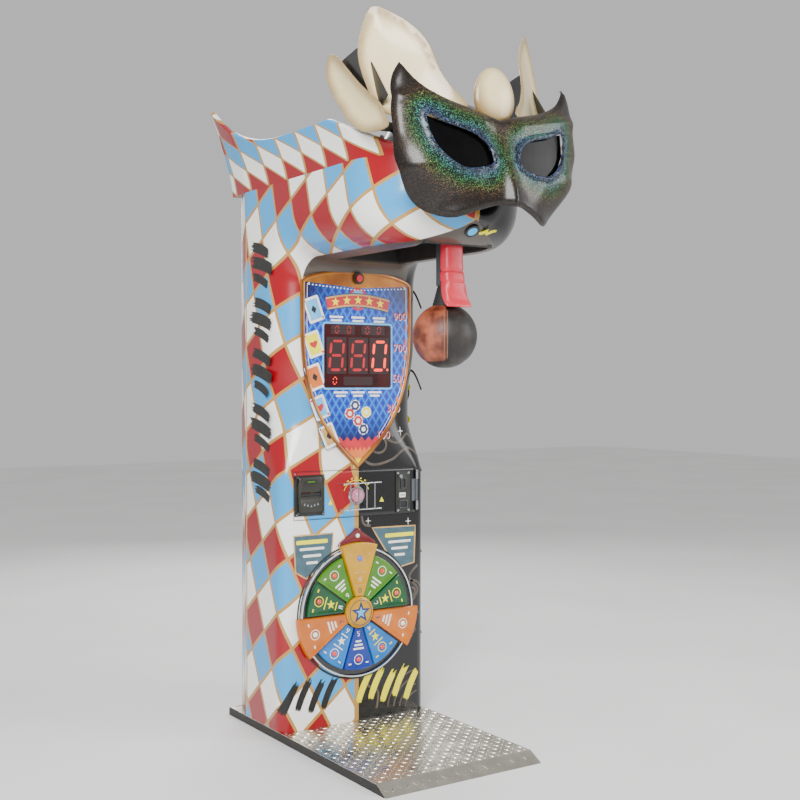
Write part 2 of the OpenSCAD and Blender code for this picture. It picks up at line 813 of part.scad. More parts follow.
module note_bezel() {
    color("#26261f") difference() {
        union() {
            block([note_x - 58, front_y - 5, note_z - 70], [note_x + 58, front_y, note_z + 70]);
            block([note_x - 48, front_y - 12, note_z - 28], [note_x + 48, front_y - 5, note_z + 44]);
            block([note_x - 46, front_y - 9, note_z - 62], [note_x + 46, front_y - 5, note_z - 32]);
        }
        block([note_x - 36, front_y - 20, note_z - 2], [note_x + 36, front_y + 10, note_z + 12]);
    }
}

module note_reader() {
    color("#30332f") difference() {
        block([note_x - 46, front_y + door_t, note_z - 60], [note_x + 44, front_y + 82, note_z + 50]);
        block([note_x - 36, front_y, note_z - 2], [note_x + 36, front_y + 60, note_z + 12]);
    }
}

coin_x = 196;
coin_z = door_z - 4;

module coin_plate() {
    color("#30302c") difference() {
        block([coin_x - 31, front_y - 4, coin_z - 75], [coin_x + 31, front_y, coin_z + 75]);
        block([coin_x - 2.6, front_y - 10, coin_z + 18], [coin_x + 2.6, front_y + 10, coin_z + 44]);
        block([coin_x - 13, front_y - 10, coin_z - 55], [coin_x + 13, front_y + 10, coin_z - 35]);
        bar_y([coin_x - 14, front_y - 10, coin_z + 56], 5 + gap, 20);
    }
}

module coin_selector() {
    color("#8a8f86") difference() {
        block([coin_x - 24, front_y + door_t, coin_z - 62], [coin_x + 24, front_y + 70, coin_z + 66]);
        block([coin_x - 2.6, front_y, coin_z + 18], [coin_x + 2.6, front_y + 55, coin_z + 44]);
        block([coin_x - 13, front_y, coin_z - 55], [coin_x + 13, front_y + 45, coin_z - 35]);
        bar_y([coin_x - 14, front_y, coin_z + 56], 5.5, 30);
    }
}

module coin_return_button() {
    color("#b9bcc0") union() {
        bar_y([coin_x - 14, front_y - 12, coin_z + 56], 5, 26);
        bar_y([coin_x - 14, front_y - 13, coin_z + 56], 7, 4);
    }
}

module door_screws() {
    color("#9a9da1") {
        for (x = [-24, 24], z = [-68, 68]) bar_y([coin_x + x, front_y - 6.5, coin_z + z], 3.5, 2.5);
        for (x = [-52, 52], z = [-64, 64]) bar_y([note_x + x, front_y - 7.5, note_z + z], 3.5, 2.5);
    }
}

lamp_x = 0;
lamp_z = door_z - 8;

module lamp_dome() {
    color("#f0b7b0") union() {
        bar_y([lamp_x, front_y - 8, lamp_z], 26, 8);
        translate([lamp_x, front_y - 8, lamp_z]) rotate([90, 0, 0]) difference() {
            sphere(r = 24);
            translate([0, 0, -30]) cube([80, 80, 60], center = true);
        }
    }
}

// Chrome wire guard: bowed uprights between two cross wires on four feet
module lamp_guard() {
    r = 2.2;
    hw = 72;
    hh = 46;
    out = front_y - 42;
    color("#d9dcdf") union() {
        for (s = [-1, 1]) bar_x([lamp_x - hw - 6, out, lamp_z + s * hh], r, 2 * hw + 12);
        for (x = [-hw, hw], s = [-1, 1]) bar_y([lamp_x + x, out, lamp_z + s * hh], 3, 42);
        for (x = [-50, -17, 17, 50]) translate([lamp_x + x, out - 1.5, lamp_z - hh])
            cylinder(h = 2 * hh, r = r);
    }
}

cash_x0 = 60;
cash_z = 438;

module cash_box() {
    color("#4b4f55") difference() {
        block([cash_x0, front_y + 16, cash_z + gap], [cash_x0 + 172, front_y + 94, cash_z + 220]);
        block([cash_x0 + 3, front_y + 19, cash_z + 3], [cash_x0 + 169, front_y + 91, cash_z + 221]);
    }
}

// ---- prize wheel ---------------------------------------------------------

wheel_y = front_y - gap;
lens_r = wheel_r - 17;
tongue_r = wheel_r + 15;
lamp_ring_r = 168;

// One sector, turned k places clockwise from the top
module sector(k, r0, r1, y, t) {
    step = 360 / sectors;
    half = step / 2 - 1.2;
    front_plate(y, t) translate([0, wheel_z]) rotate(90 - k * step)
        polygon(concat(arc(0, 0, r0, half, -half, 4), arc(0, 0, r1, -half, half, 8)));
}

module raised_sector(k) {
    sector(k, hub_r + 4, tongue_r, wheel_y - 26, 8);
    sector(k, hub_r + 4, lens_r, wheel_y - 18.01, 14);
}

module low_sector(k) {
    sector(k, hub_r + 4, lens_r, wheel_y - 16, 12);
}

module wheel_tray() {
    color("#141414") difference() {
        bar_y([0, wheel_y - 4, wheel_z], wheel_r - 9 - gap, 4);
        for (a = [0:36:324]) rotate_about_wheel(a)
            bar_y([0, wheel_y - 10, wheel_z + lamp_ring_r], 4, 20);
    }
}

module rotate_about_wheel(a) {
    translate([0, 0, wheel_z]) rotate([0, a, 0]) translate([0, 0, -wheel_z]) children();
}

module wheel_rim() {
    color("#c4c7ca") translate([0, wheel_y, wheel_z]) rotate([90, 0, 0]) rotate_extrude($fn = 128)
        polygon([[wheel_r - 9, 0], [wheel_r, 0], [wheel_r, 10], [wheel_r - 2, 15], [wheel_r - 7, 15],
                 [wheel_r - 9, 10]]);
}

module green_lenses() {
    color("#3f8f3a") for (k = [1, 2, 8, 9]) if (k < sectors) low_sector(k);
}

module blue_lenses() {
    color("#2f8fd8") for (k = [4, 5, 6]) low_sector(k);
}

module orange_lenses() {
    color("#f08a1d") for (k = [3, 7]) raised_sector(k);
}

module yellow_lens() {
    color("#f2cf1a") raised_sector(0);
}

module wheel_hub() {
    color("#f2cf1a") union() {
        bar_y([0, wheel_y - 24, wheel_z], hub_r, 20);
        bar_y([0, wheel_y - 30, wheel_z], hub_r - 8, 10);
    }
}

module wheel_lamps() {
    color("#f4f1ea") for (k = [0:sectors - 1]) {
        raised = k == 0 || k == 3 || k == 7;
        y = raised ? wheel_y - 26 : wheel_y - 16;
        z = wheel_z + lamp_ring_r + (raised ? 22 : 0);
        rotate_about_wheel(k * 360 / sectors) translate([0, y - gap, z])
            rotate([90, 0, 0]) difference() {
                sphere(r = 9);
                translate([0, 0, -20]) cube([40, 40, 40], center = true);
            }
    }
}

// ---- electrics -----------------------------------------------------------

inlet_x = 205;
inlet_z = 140;

module control_board() {
    color("#17633b") union() {
        block([-150, front_post_y + 17, 1190], [150, front_post_y + 19, 1380]);
        for (x = [-130, 130]) block([x - 8, front_post_y + 15, 1190], [x + 8, front_post_y + 17, 1480]);
        for (x = [-100, -30, 50]) block([x, front_post_y + 19, 1230], [x + 44, front_post_y + 31, 1290]);
    }
}

module power_supply() {
    color("#9aa0a4") block([-90, 300, base_h], [90, 420, base_h + 70]);
}

module mains_inlet() {
    color("#111111") difference() {
        union() {
            block([inlet_x - 24, back_y - 28, inlet_z - 14], [inlet_x + 24, back_y, inlet_z + 14]);
            block([inlet_x - 30, back_y + gap, inlet_z - 20], [inlet_x + 30, back_y + 4, inlet_z + 20]);
            block([inlet_x - 24, back_y - 1, inlet_z - 14], [inlet_x + 24, back_y + 1, inlet_z + 14]);
        }
        block([inlet_x - 14, back_y - 14, inlet_z - 10], [inlet_x + 14, back_y + 10, inlet_z + 10]);
    }
}

// ---- assembly ------------------------------------------------------------

base_board();
tread_plate();
cabinet_shell();
column_frame();
arm_frame();
crown();
arm_liner();
rear_door();
rear_hinges();
rear_lock();
mask();
eye_lenses();
head_core();
side_petals();
rear_petals();
centre_petal();
head_bracket();
pivot_shaft();
bearing_blocks();
swing_lever();
ball_neck();
striking_ball();
lever_cover();
stop_buffers();
speed_disc();
speed_sensor();
latch_cam();
latch_hook();
latch_bracket();
latch_solenoid();
solenoid_plunger();
start_bezel();
start_cap();
shield_frame();
shield_panel();
display_board();
reset_bezel();
reset_cap();
coin_door();
door_hinge();
note_bezel();
note_reader();
coin_plate();
coin_selector();
coin_return_button();
door_screws();
lamp_dome();
lamp_guard();
cash_box();
wheel_tray();
wheel_rim();
green_lenses();
blue_lenses();
orange_lenses();
yellow_lens();
wheel_hub();
wheel_lamps();
control_board();
power_supply();
mains_inlet();
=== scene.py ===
"""Boxing punch machine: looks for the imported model, built in its own frame.

Every sub-assembly is a class that builds its meshes and dresses them.
Lengths in the classes are millimetres and are turned to metres as a mesh is made.
"""
import logging
import math
from collections.abc import Callable, Sequence
from dataclasses import dataclass, field
from enum import Enum

import bmesh
import bpy
from mathutils import Matrix, Vector
from mathutils.geometry import delaunay_2d_cdt


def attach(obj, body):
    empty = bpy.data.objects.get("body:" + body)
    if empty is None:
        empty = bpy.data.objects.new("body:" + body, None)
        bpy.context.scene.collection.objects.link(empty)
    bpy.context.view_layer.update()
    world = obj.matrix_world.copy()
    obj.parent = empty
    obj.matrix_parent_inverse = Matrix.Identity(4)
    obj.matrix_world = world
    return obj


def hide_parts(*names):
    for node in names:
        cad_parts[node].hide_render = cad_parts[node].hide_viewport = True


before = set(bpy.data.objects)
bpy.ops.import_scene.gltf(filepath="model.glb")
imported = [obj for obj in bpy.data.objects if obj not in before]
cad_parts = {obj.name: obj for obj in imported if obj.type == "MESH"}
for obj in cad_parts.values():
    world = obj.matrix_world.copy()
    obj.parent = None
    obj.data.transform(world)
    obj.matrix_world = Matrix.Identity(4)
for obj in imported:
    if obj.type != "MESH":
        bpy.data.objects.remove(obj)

log = logging.getLogger("punch_machine")

MM = 0.001
CABINET = "cabinet"
SWING = "swing_arm"
DOOR = "coin_door"

Point2 = tuple[float, float]
Point3 = tuple[float, float, float]


# ---- small helpers ----------------------------------------------------------

def linear(colour: str) -> tuple[float, float, float, float]:
    """Turns an sRGB hex colour to linear RGBA.

    Args:
        colour: Hex digits such as "#d0043c".

    Returns:
        Linear red, green, blue and an alpha of one.
    """
    parts = [int(colour[i:i + 2], 16) / 255 for i in (1, 3, 5)]
    toned = [c / 12.92 if c <= 0.04045 else ((c + 0.055) / 1.055) ** 2.4 for c in parts]
    return (toned[0], toned[1], toned[2], 1.0)


def per_mm(size: float) -> float:
    """Texture scale at which one cell of a pattern is size millimetres wide."""
    return 1.0 / (size * MM)


def add(tree: bpy.types.NodeTree, kind: str, sockets: dict | None = None, out: str | int = 0,
        **settings: object) -> bpy.types.NodeSocket:
    """Adds one shader node with its settings and links.

    Args:
        tree: Tree that gets the node.
        kind: Blender's name of the node type, without "ShaderNode".
        sockets: Input name or index to a value, or to the socket that feeds it.
        out: Name or index of the output to return.
        settings: Properties set on the node itself.

    Returns:
        The chosen output socket.
    """
    node = tree.nodes.new("ShaderNode" + kind)
    for key, value in settings.items():
        setattr(node, key, value)
    for key, value in (sockets or {}).items():
        if isinstance(value, bpy.types.NodeSocket):
            tree.links.new(value, node.inputs[key])
        else:
            node.inputs[key].default_value = value
    return node.outputs[out] if len(node.outputs) else None


def maths(tree: bpy.types.NodeTree, kind: str, *values: object) -> bpy.types.NodeSocket:
    """Adds a maths node.

    Args:
        tree: The node tree.
        kind: The operation.
        values: Its inputs in order, each a number or a socket.

    Returns:
        The result's socket.
    """
    return add(tree, "Math", dict(enumerate(values)), operation=kind)


def map_to(tree: bpy.types.NodeTree, value: object, low: float = 0.0, high: float = 1.0, start: float = 0.0,
         end: float = 1.0) -> bpy.types.NodeSocket:
    """Maps a value from low..high to start..end, clamped.

    Args:
        tree: The node tree.
        value: The socket to map.
        low: Value that gives start.
        high: Value that gives end.
        start: First result.
        end: Last result.

    Returns:
        The result's socket.
    """
    return add(tree, "MapRange", {"Value": value, "From Min": low, "From Max": high, "To Min": start,
                                  "To Max": end})


def blend_of(tree: bpy.types.NodeTree, share: object, first: object, second: object) -> bpy.types.NodeSocket:
    """Mixes two colours.

    Args:
        tree: The node tree.
        share: How much of the second colour shows, 0 to 1.
        first: Colour at 0.
        second: Colour at 1.

    Returns:
        The mixed colour's socket.
    """
    return add(tree, "Mix", {0: share, 6: first, 7: second}, 2, data_type="RGBA")


def smooth(t: float) -> float:
    """Smooth step from 0 to 1."""
    c = min(1.0, max(0.0, t))
    return c * c * (3 - 2 * c)


def mix(a: float, b: float, t: float) -> float:
    """Value t of the way from a to b."""
    return a + (b - a) * t


def arc(cx: float, cy: float, r: float, start: float, end: float, steps: int = 12) -> list[Point2]:
    """Points along a circular arc, with angles in degrees."""
    turn = [math.radians(mix(start, end, k / steps)) for k in range(steps + 1)]
    return [(cx + r * math.cos(a), cy + r * math.sin(a)) for a in turn]


def rounded_box(cx: float, cy: float, w: float, h: float, r: float) -> list[Point2]:
    """Outline of a rectangle with round corners, anticlockwise."""
    x, y = w / 2 - r, h / 2 - r
    return (arc(cx + x, cy + y, r, 0, 90, 4) + arc(cx - x, cy + y, r, 90, 180, 4)
            + arc(cx - x, cy - y, r, 180, 270, 4) + arc(cx + x, cy - y, r, 270, 360, 4))


def curve_through(points: Sequence[Sequence[float]], steps: int = 8, closed: bool = False) -> list[tuple]:
    """Catmull-Rom curve through points.

    Args:
        points: Points with any number of coordinates.
        steps: Points made for each span.
        closed: True if the curve returns to its start.

    Returns:
        The denser list of points.
    """
    n = len(points)
    spans = n if closed else n - 1
    made = []
    for i in range(spans):
        if closed:
            quad = [points[(i + k - 1) % n] for k in range(4)]
        else:
            quad = [points[min(n - 1, max(0, i + k - 1))] for k in range(4)]
        for s in range(steps):
            t = s / steps
            made.append(tuple(
                0.5 * (2 * b + (c - a) * t + (2 * a - 5 * b + 4 * c - d) * t * t + (3 * b - a - 3 * c + d) * t ** 3)
                for a, b, c, d in zip(*quad)))
    if not closed:
        made.append(tuple(points[-1]))
    return made


def inside(p: Sequence[float], loop: Sequence[Sequence[float]]) -> bool:
    """True if a 2-D point lies inside a closed loop."""
    hit = False
    for a, b in zip(loop, list(loop[1:]) + [loop[0]]):
        if (a[1] > p[1]) != (b[1] > p[1]) and p[0] < (b[0] - a[0]) * (p[1] - a[1]) / (b[1] - a[1]) + a[0]:
            hit = not hit
    return hit


def distance(p: Sequence[float], loop: Sequence[Sequence[float]]) -> float:
    """Distance from a 2-D point to a closed loop."""
    best = 1e9
    for a, b in zip(loop, list(loop[1:]) + [loop[0]]):
        dx, dy = b[0] - a[0], b[1] - a[1]
        t = max(0.0, min(1.0, ((p[0] - a[0]) * dx + (p[1] - a[1]) * dy) / (dx * dx + dy * dy + 1e-9)))
        best = min(best, math.hypot(p[0] - a[0] - t * dx, p[1] - a[1] - t * dy))
    return best


def noise(seed: float) -> float:
    """Repeatable number from 0 to 1 for a seed."""
    return math.sin(seed * 127.1 + 311.7) * 43758.5453 % 1.0


class Mesh:
    """Collects vertices in millimetres and faces, and turns them into one object."""

    def __init__(self, name: str) -> None:
        """Starts an empty mesh called name."""
        self.name = name
        self.verts: list[Point3] = []
        self.faces: list[tuple[int, ...]] = []
        self.slots: list[int] = []

    def add(self, verts: Sequence[Point3], faces: Sequence[Sequence[int]], slot: int = 0) -> None:
        """Adds vertices and the faces that join them."""
        first = len(self.verts)
        self.verts += [tuple(v) for v in verts]
        self.faces += [tuple(first + i for i in f) for f in faces]
        self.slots += [slot] * len(faces)

    def rings(self, rings: Sequence[Sequence[Point3]], closed: bool = True, caps: bool = True,
              slot: int = 0) -> None:
        """Adds a skin over rings with equally many points.

        Args:
            rings: The rings in order.
            closed: True if each ring is a loop.
            caps: True to close the first and last ring.
            slot: Material slot of the faces.
        """
        n = len(rings[0])
        last = n if closed else n - 1
        faces = [(j * n + k, j * n + (k + 1) % n, (j + 1) * n + (k + 1) % n, (j + 1) * n + k)
                 for j in range(len(rings) - 1) for k in range(last)]
        if caps:
            faces += [tuple(reversed(range(n))), tuple((len(rings) - 1) * n + k for k in range(n))]
        self.add([p for ring in rings for p in ring], faces, slot)

    def plate(self, outline: Sequence[Point2], place: Callable[[float, float, float], Point3],
              front: float, back: float, slot: int = 0) -> None:
        """Adds a flat plate.

        Args:
            outline: Outline in the plate's own plane.
            place: Turns (across, up, lift) to a point of the frame.
            front: Lift of the face that shows.
            back: Lift of the face behind.
            slot: Material slot of the faces.
        """
        self.rings([[place(u, v, back) for u, v in outline], [place(u, v, front) for u, v in outline]],
                   slot=slot)

    def make(self, body: str, materials: Sequence[bpy.types.Material], cad_slot: str, replaces: Sequence[str] = (),
             sharp: float = 35.0, bevel: float = 0.0) -> bpy.types.Object:
        """Turns the collected mesh into an object that rides on a body.

        Args:
            body: Body that carries the piece.
            materials: One material for each slot in use.
            cad_slot: Not used.
            replaces: CAD nodes that the piece stands for.
            sharp: Angle in degrees above which an edge stays sharp.
            bevel: Width of the edge bevel in millimetres.

        Returns:
            The new object.
        """
        data = bpy.data.meshes.new(self.name)
        data.from_pydata([Vector(v) * MM for v in self.verts], [], self.faces)
        data.validate()
        for poly, slot in zip(data.polygons, self.slots):
            poly.material_index = slot
        piece = bpy.data.objects.new(self.name, data)
        bpy.context.scene.collection.objects.link(piece)
        return settle(piece, body, materials, cad_slot, replaces, sharp, bevel)


def settle(piece: bpy.types.Object, body: str, materials: Sequence[bpy.types.Material], cad_slot: str,
           replaces: Sequence[str] = (), sharp: float = 35.0, bevel: float = 0.0) -> bpy.types.Object:
    """Fixes an object's normals, shading and materials and sets what it rides on.

    Args:
        piece: The mesh object.
        body: Body that carries the piece.
        materials: Materials for the object's slots.
        cad_slot: Not used.
        replaces: CAD nodes that the piece stands for.
        sharp: Angle in degrees above which an edge stays sharp.
        bevel: Width of the edge bevel in millimetres.

    Returns:
        The same object.
    """
    fix = bmesh.new()
    fix.from_mesh(piece.data)
    bmesh.ops.recalc_face_normals(fix, faces=fix.faces)
    fix.to_mesh(piece.data)
    fix.free()
    for material in materials:
        piece.data.materials.append(material)
    piece.data.shade_smooth()
    piece.data.set_sharp_from_angle(angle=math.radians(sharp))
    if bevel:
        edge = piece.modifiers.new("bevel", "BEVEL")
        edge.width = bevel * MM
        edge.segments = 2
        edge.limit_method = "ANGLE"
        edge.angle_limit = math.radians(sharp)
        edge.harden_normals = True
    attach(piece, body)
    if replaces:
        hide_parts(*replaces)
    log.info("%s: %d faces on %s", piece.name, len(piece.data.polygons), body)
    return piece


def numeral(text: str) -> tuple[list[Point2], list[tuple[int, ...]]]:
    """Flat faces of a numeral one unit high, centred on the origin.

    Args:
        text: Digits to draw.

    Returns:
        Points in the plane and the faces that join them.
    """
    font = bpy.data.curves.new("numeral", "FONT")
    font.body = text
    font.resolution_u = 3
    glyph = bpy.data.objects.new("numeral", font)
    bpy.context.scene.collection.objects.link(glyph)
    bpy.context.view_layer.update()
    made = bpy.data.meshes.new_from_object(glyph.evaluated_get(bpy.context.evaluated_depsgraph_get()))
    points = [(v.co.x, v.co.y) for v in made.vertices]
    faces = [tuple(p.vertices) for p in made.polygons]
    bpy.data.objects.remove(glyph)
    bpy.data.curves.remove(font)
    bpy.data.meshes.remove(made)
    xs = [p[0] for p in points]
    ys = [p[1] for p in points]
    mid_x, mid_y, size = (min(xs) + max(xs)) / 2, (min(ys) + max(ys)) / 2, max(ys) - min(ys)
    return [((x - mid_x) / size, (y - mid_y) / size) for x, y in points], faces


def front_at(y: float) -> Callable[[float, float, float], Point3]:
    """Placement on a plane that faces the player at a distance y, lifted towards the player."""
    return lambda u, v, lift: (u, y - lift, v)


# ---- finishes ---------------------------------------------------------------

@dataclass(frozen=True)
class Finish:
    """A finish with two tones in a soft mottle, fine grain and slight wear in its gloss."""

    name: str
    tone: str
    shade: str
    roughness: float
    metallic: float = 0.0
    mottle_mm: float = 40.0
    grain_mm: float = 2.0
    relief_mm: float = 0.02
    coat: float = 0.0
    sheen: float = 0.0
    ior: float = 1.5
    stretch: tuple[float, float, float] = (1.0, 1.0, 1.0)
    glow: float = 0.0
    clear: float = 0.0

    def build(self) -> bpy.types.Material:
        """Builds the material once and returns it."""
        known = bpy.data.materials.get(self.name)
        if known:
            return known
        made = bpy.data.materials.new(self.name)
        made.use_nodes = True
        tree = made.node_tree
        tree.nodes.clear()
        place = add(tree, "TexCoord", out="Object")
        spread = add(tree, "Mapping", {"Vector": place, "Scale": self.stretch})
        mottle = add(tree, "TexNoise", {"Vector": spread, "Scale": per_mm(self.mottle_mm), "Detail": 4.0}, "Fac")
        grain = add(tree, "TexNoise", {"Vector": spread, "Scale": per_mm(self.grain_mm), "Detail": 3.0}, "Fac")
        blend = map_to(tree, mottle, 0.35, 0.65)
        tone = blend_of(tree, blend, linear(self.shade), linear(self.tone))
        worn = map_to(tree, mottle, start=self.roughness * 0.8, end=min(1.0, self.roughness * 1.25))
        bump = add(tree, "Bump", {"Height": grain, "Strength": 1.0, "Distance": self.relief_mm * MM})
        sockets = {"Base Color": tone, "Roughness": worn, "Normal": bump, "Metallic": self.metallic,
                   "IOR": self.ior, "Coat Weight": self.coat, "Coat Roughness": 0.08,
                   "Sheen Weight": self.sheen, "Transmission Weight": self.clear,
                   "Emission Strength": self.glow}
        if self.glow:
            sockets["Emission Color"] = linear(self.tone)
        shader = add(tree, "BsdfPrincipled", sockets, "BSDF")
        add(tree, "OutputMaterial", {"Surface": shader})
        return made


# Printed polyester film on the moulding: flat inks under a hard gloss
INK = {
    "white": Finish("printed_white_ink", "#f7f5f0", "#efece4", 0.30, mottle_mm=90, coat=0.5),
    "gold": Finish("printed_gold_ink", "#cda768", "#bf9757", 0.34, mottle_mm=30, coat=0.4),
    "bronze": Finish("printed_bronze_ink", "#5b5146", "#463d34", 0.36, mottle_mm=24, coat=0.4),
    "black": Finish("printed_black_ink", "#12110f", "#1b1a17", 0.42, mottle_mm=18, coat=0.2),
    # The yellow ink carries a faint painted glow; it is no lamp.
    "yellow": Finish("printed_yellow_ink_painted_glow", "#f4ea00", "#ece000", 0.4, mottle_mm=30, glow=0.12),
    "teal": Finish("printed_slate_teal_ink", "#43626e", "#375561", 0.38, mottle_mm=30, coat=0.3),
    "red": Finish("printed_red_ink", "#cf1b2c", "#b81526", 0.35, mottle_mm=30, coat=0.4),
    "orange": Finish("printed_orange_ink", "#e2772a", "#d4661d", 0.35, mottle_mm=30, coat=0.4),
    "sky": Finish("printed_sky_ink", "#6cc0f2", "#58b0e6", 0.35, mottle_mm=30, coat=0.4),
    "navy": Finish("printed_navy_ink", "#1b2a6b", "#162257", 0.35, mottle_mm=20, coat=0.4),
    "grey": Finish("printed_grey_ink", "#8b8f96", "#787d86", 0.4, mottle_mm=12, coat=0.2),
}

# Injection-moulded ABS: fine spark texture, soft gloss
ABS = {
    "black": Finish("abs_black_moulded", "#1b1b1a", "#141413", 0.42, grain_mm=1.2, relief_mm=0.04),
    "olive": Finish("abs_olive_black_moulded", "#2b2b25", "#212019", 0.38, grain_mm=1.2, relief_mm=0.04),
    "blue": Finish("abs_sky_blue_translucent", "#22b4ee", "#19a3e0", 0.22, coat=0.5, glow=0.35),
    "red": Finish("abs_red_translucent", "#e01220", "#c40c18", 0.2, coat=0.6, glow=0.25),
}

# Vacuum-formed acrylic lenses over printed colour: wet gloss, slightly cloudy
LENS = {
    "light_green": Finish("acrylic_lens_light_green", "#4a860e", "#3d760a", 0.2, mottle_mm=60, coat=0.35),
    "dark_green": Finish("acrylic_lens_dark_green", "#00542a", "#004522", 0.2, mottle_mm=60, coat=0.35),
    "light_blue": Finish("acrylic_lens_light_blue", "#0a78c8", "#0668b4", 0.2, mottle_mm=60, coat=0.35),
    "dark_blue": Finish("acrylic_lens_dark_blue", "#06339a", "#042a86", 0.2, mottle_mm=60, coat=0.35),
    "orange": Finish("acrylic_lens_orange", "#d27000", "#c26200", 0.2, mottle_mm=60, coat=0.35),
    "yellow": Finish("acrylic_lens_yellow", "#cf9c00", "#c08c00", 0.2, mottle_mm=60, coat=0.35),
    "maroon": Finish("acrylic_lens_maroon", "#701418", "#620f12", 0.2, mottle_mm=60, coat=0.35),
}

# Small glass-clear lamp caps with a lit filament behind them
LAMP = {
    "red": Finish("lamp_cap_red", "#e2382c", "#c92a20", 0.12, coat=1.0, glow=0.5),
    "blue": Finish("lamp_cap_blue", "#2a5fe0", "#1e4fd0", 0.12, coat=1.0, glow=0.5),
    "white": Finish("lamp_cap_white", "#d8f2ea", "#bfe6dc", 0.12, coat=1.0, glow=0.5),
    "pink": Finish("lamp_core_pink", "#e9a6c8", "#d98ab4", 0.2, coat=0.6, glow=0.4),
}

# Metals, by how each was worked
METAL = {
    "frame": Finish("steel_tube_powder_coated", "#3d4147", "#34383d", 0.5, grain_mm=1.0, relief_mm=0.05),
    "zinc": Finish("steel_zinc_plated", "#b9bcc0", "#a3a7ac", 0.3, 1.0, mottle_mm=12, relief_mm=0.01),
    "ground": Finish("steel_ground_bright", "#c7cacd", "#b4b8bc", 0.22, 1.0, stretch=(1, 8, 8), relief_mm=0.01),
    "chrome": Finish("wire_chrome_plated", "#e6e8ea", "#d3d6d9", 0.07, 1.0, relief_mm=0.002),
    "cast": Finish("iron_cast_painted", "#5d6268", "#4f5459", 0.55, grain_mm=1.6, relief_mm=0.12),
    "dark": Finish("steel_blacked", "#6d7176", "#5b5f64", 0.38, 0.9, relief_mm=0.01),
    "gold": Finish("rim_gold_metallic_paint", "#c98a2c", "#8f4c12", 0.3, 0.5, mottle_mm=160, coat=0.4),
    "copper": Finish("coil_enamelled_copper", "#b98a2f", "#9a6f22", 0.35, 0.6, grain_mm=1, relief_mm=0.1),
    "box": Finish("steel_sheet_painted_grey", "#565b61", "#4b4f55", 0.48, relief_mm=0.03),
}

# Rubber, boards and other inner goods
OTHER = {
    "rubber": Finish("rubber_moulded_black", "#1c1c1d", "#141415", 0.62, grain_mm=1.5, relief_mm=0.06),
    "liner": Finish("liner_vacuum_formed_black", "#2d2b29", "#242220", 0.5, grain_mm=1.4, relief_mm=0.06),
    "pcb": Finish("circuit_board_green", "#17633b", "#0f4a2a", 0.35, mottle_mm=5, relief_mm=0.05, coat=0.4),
    "board": Finish("birch_ply_painted_black", "#26231f", "#1a1815", 0.5, mottle_mm=14, grain_mm=3,
                    relief_mm=0.12, stretch=(0.3, 0.3, 3.0)),
    "core": Finish("fibreglass_black_gelcoat", "#232324", "#1a1a1b", 0.3, mottle_mm=80, coat=0.6),
    "eye": Finish("acrylic_black_polished", "#020203", "#060607", 0.22, ior=1.22, relief_mm=0.004),
    "tray": Finish("wheel_tray_black_acrylic", "#101010", "#171717", 0.2, coat=0.8),
    "acrylic": Finish("display_window_dark_red", "#3c0408", "#2a0205", 0.2, mottle_mm=60, coat=0.3, ior=1.3),
    "clear": Finish("dome_clear_pink_polycarbonate", "#f7dfe4", "#f2d2d9", 0.05, coat=0.5, clear=0.9),
    "led_on": Finish("led_segment_lit", "#ff3a1c", "#ff3014", 0.3, glow=1.5),
    "led_dim": Finish("led_segment_dim", "#b4081a", "#a00615", 0.3, glow=0.35),
}


# ---- special finishes --------------------------------------------------------



class Material(Enum):
    """Finishes that need more than a mottle and a grain."""

    BODY = "moulding_printed_film"
    CROWN = "crown_printed_film"
    GLITTER = "mask_holographic_flake_lacquer"
    PETAL = "petal_gelcoat_tan_rim"
    TREAD = "aluminium_tread_plate_rolled"
    LEATHER = "ball_stitched_leather"
    VINYL = "cover_padded_vinyl"
    SHIELD = "shield_back_printed_acrylic"


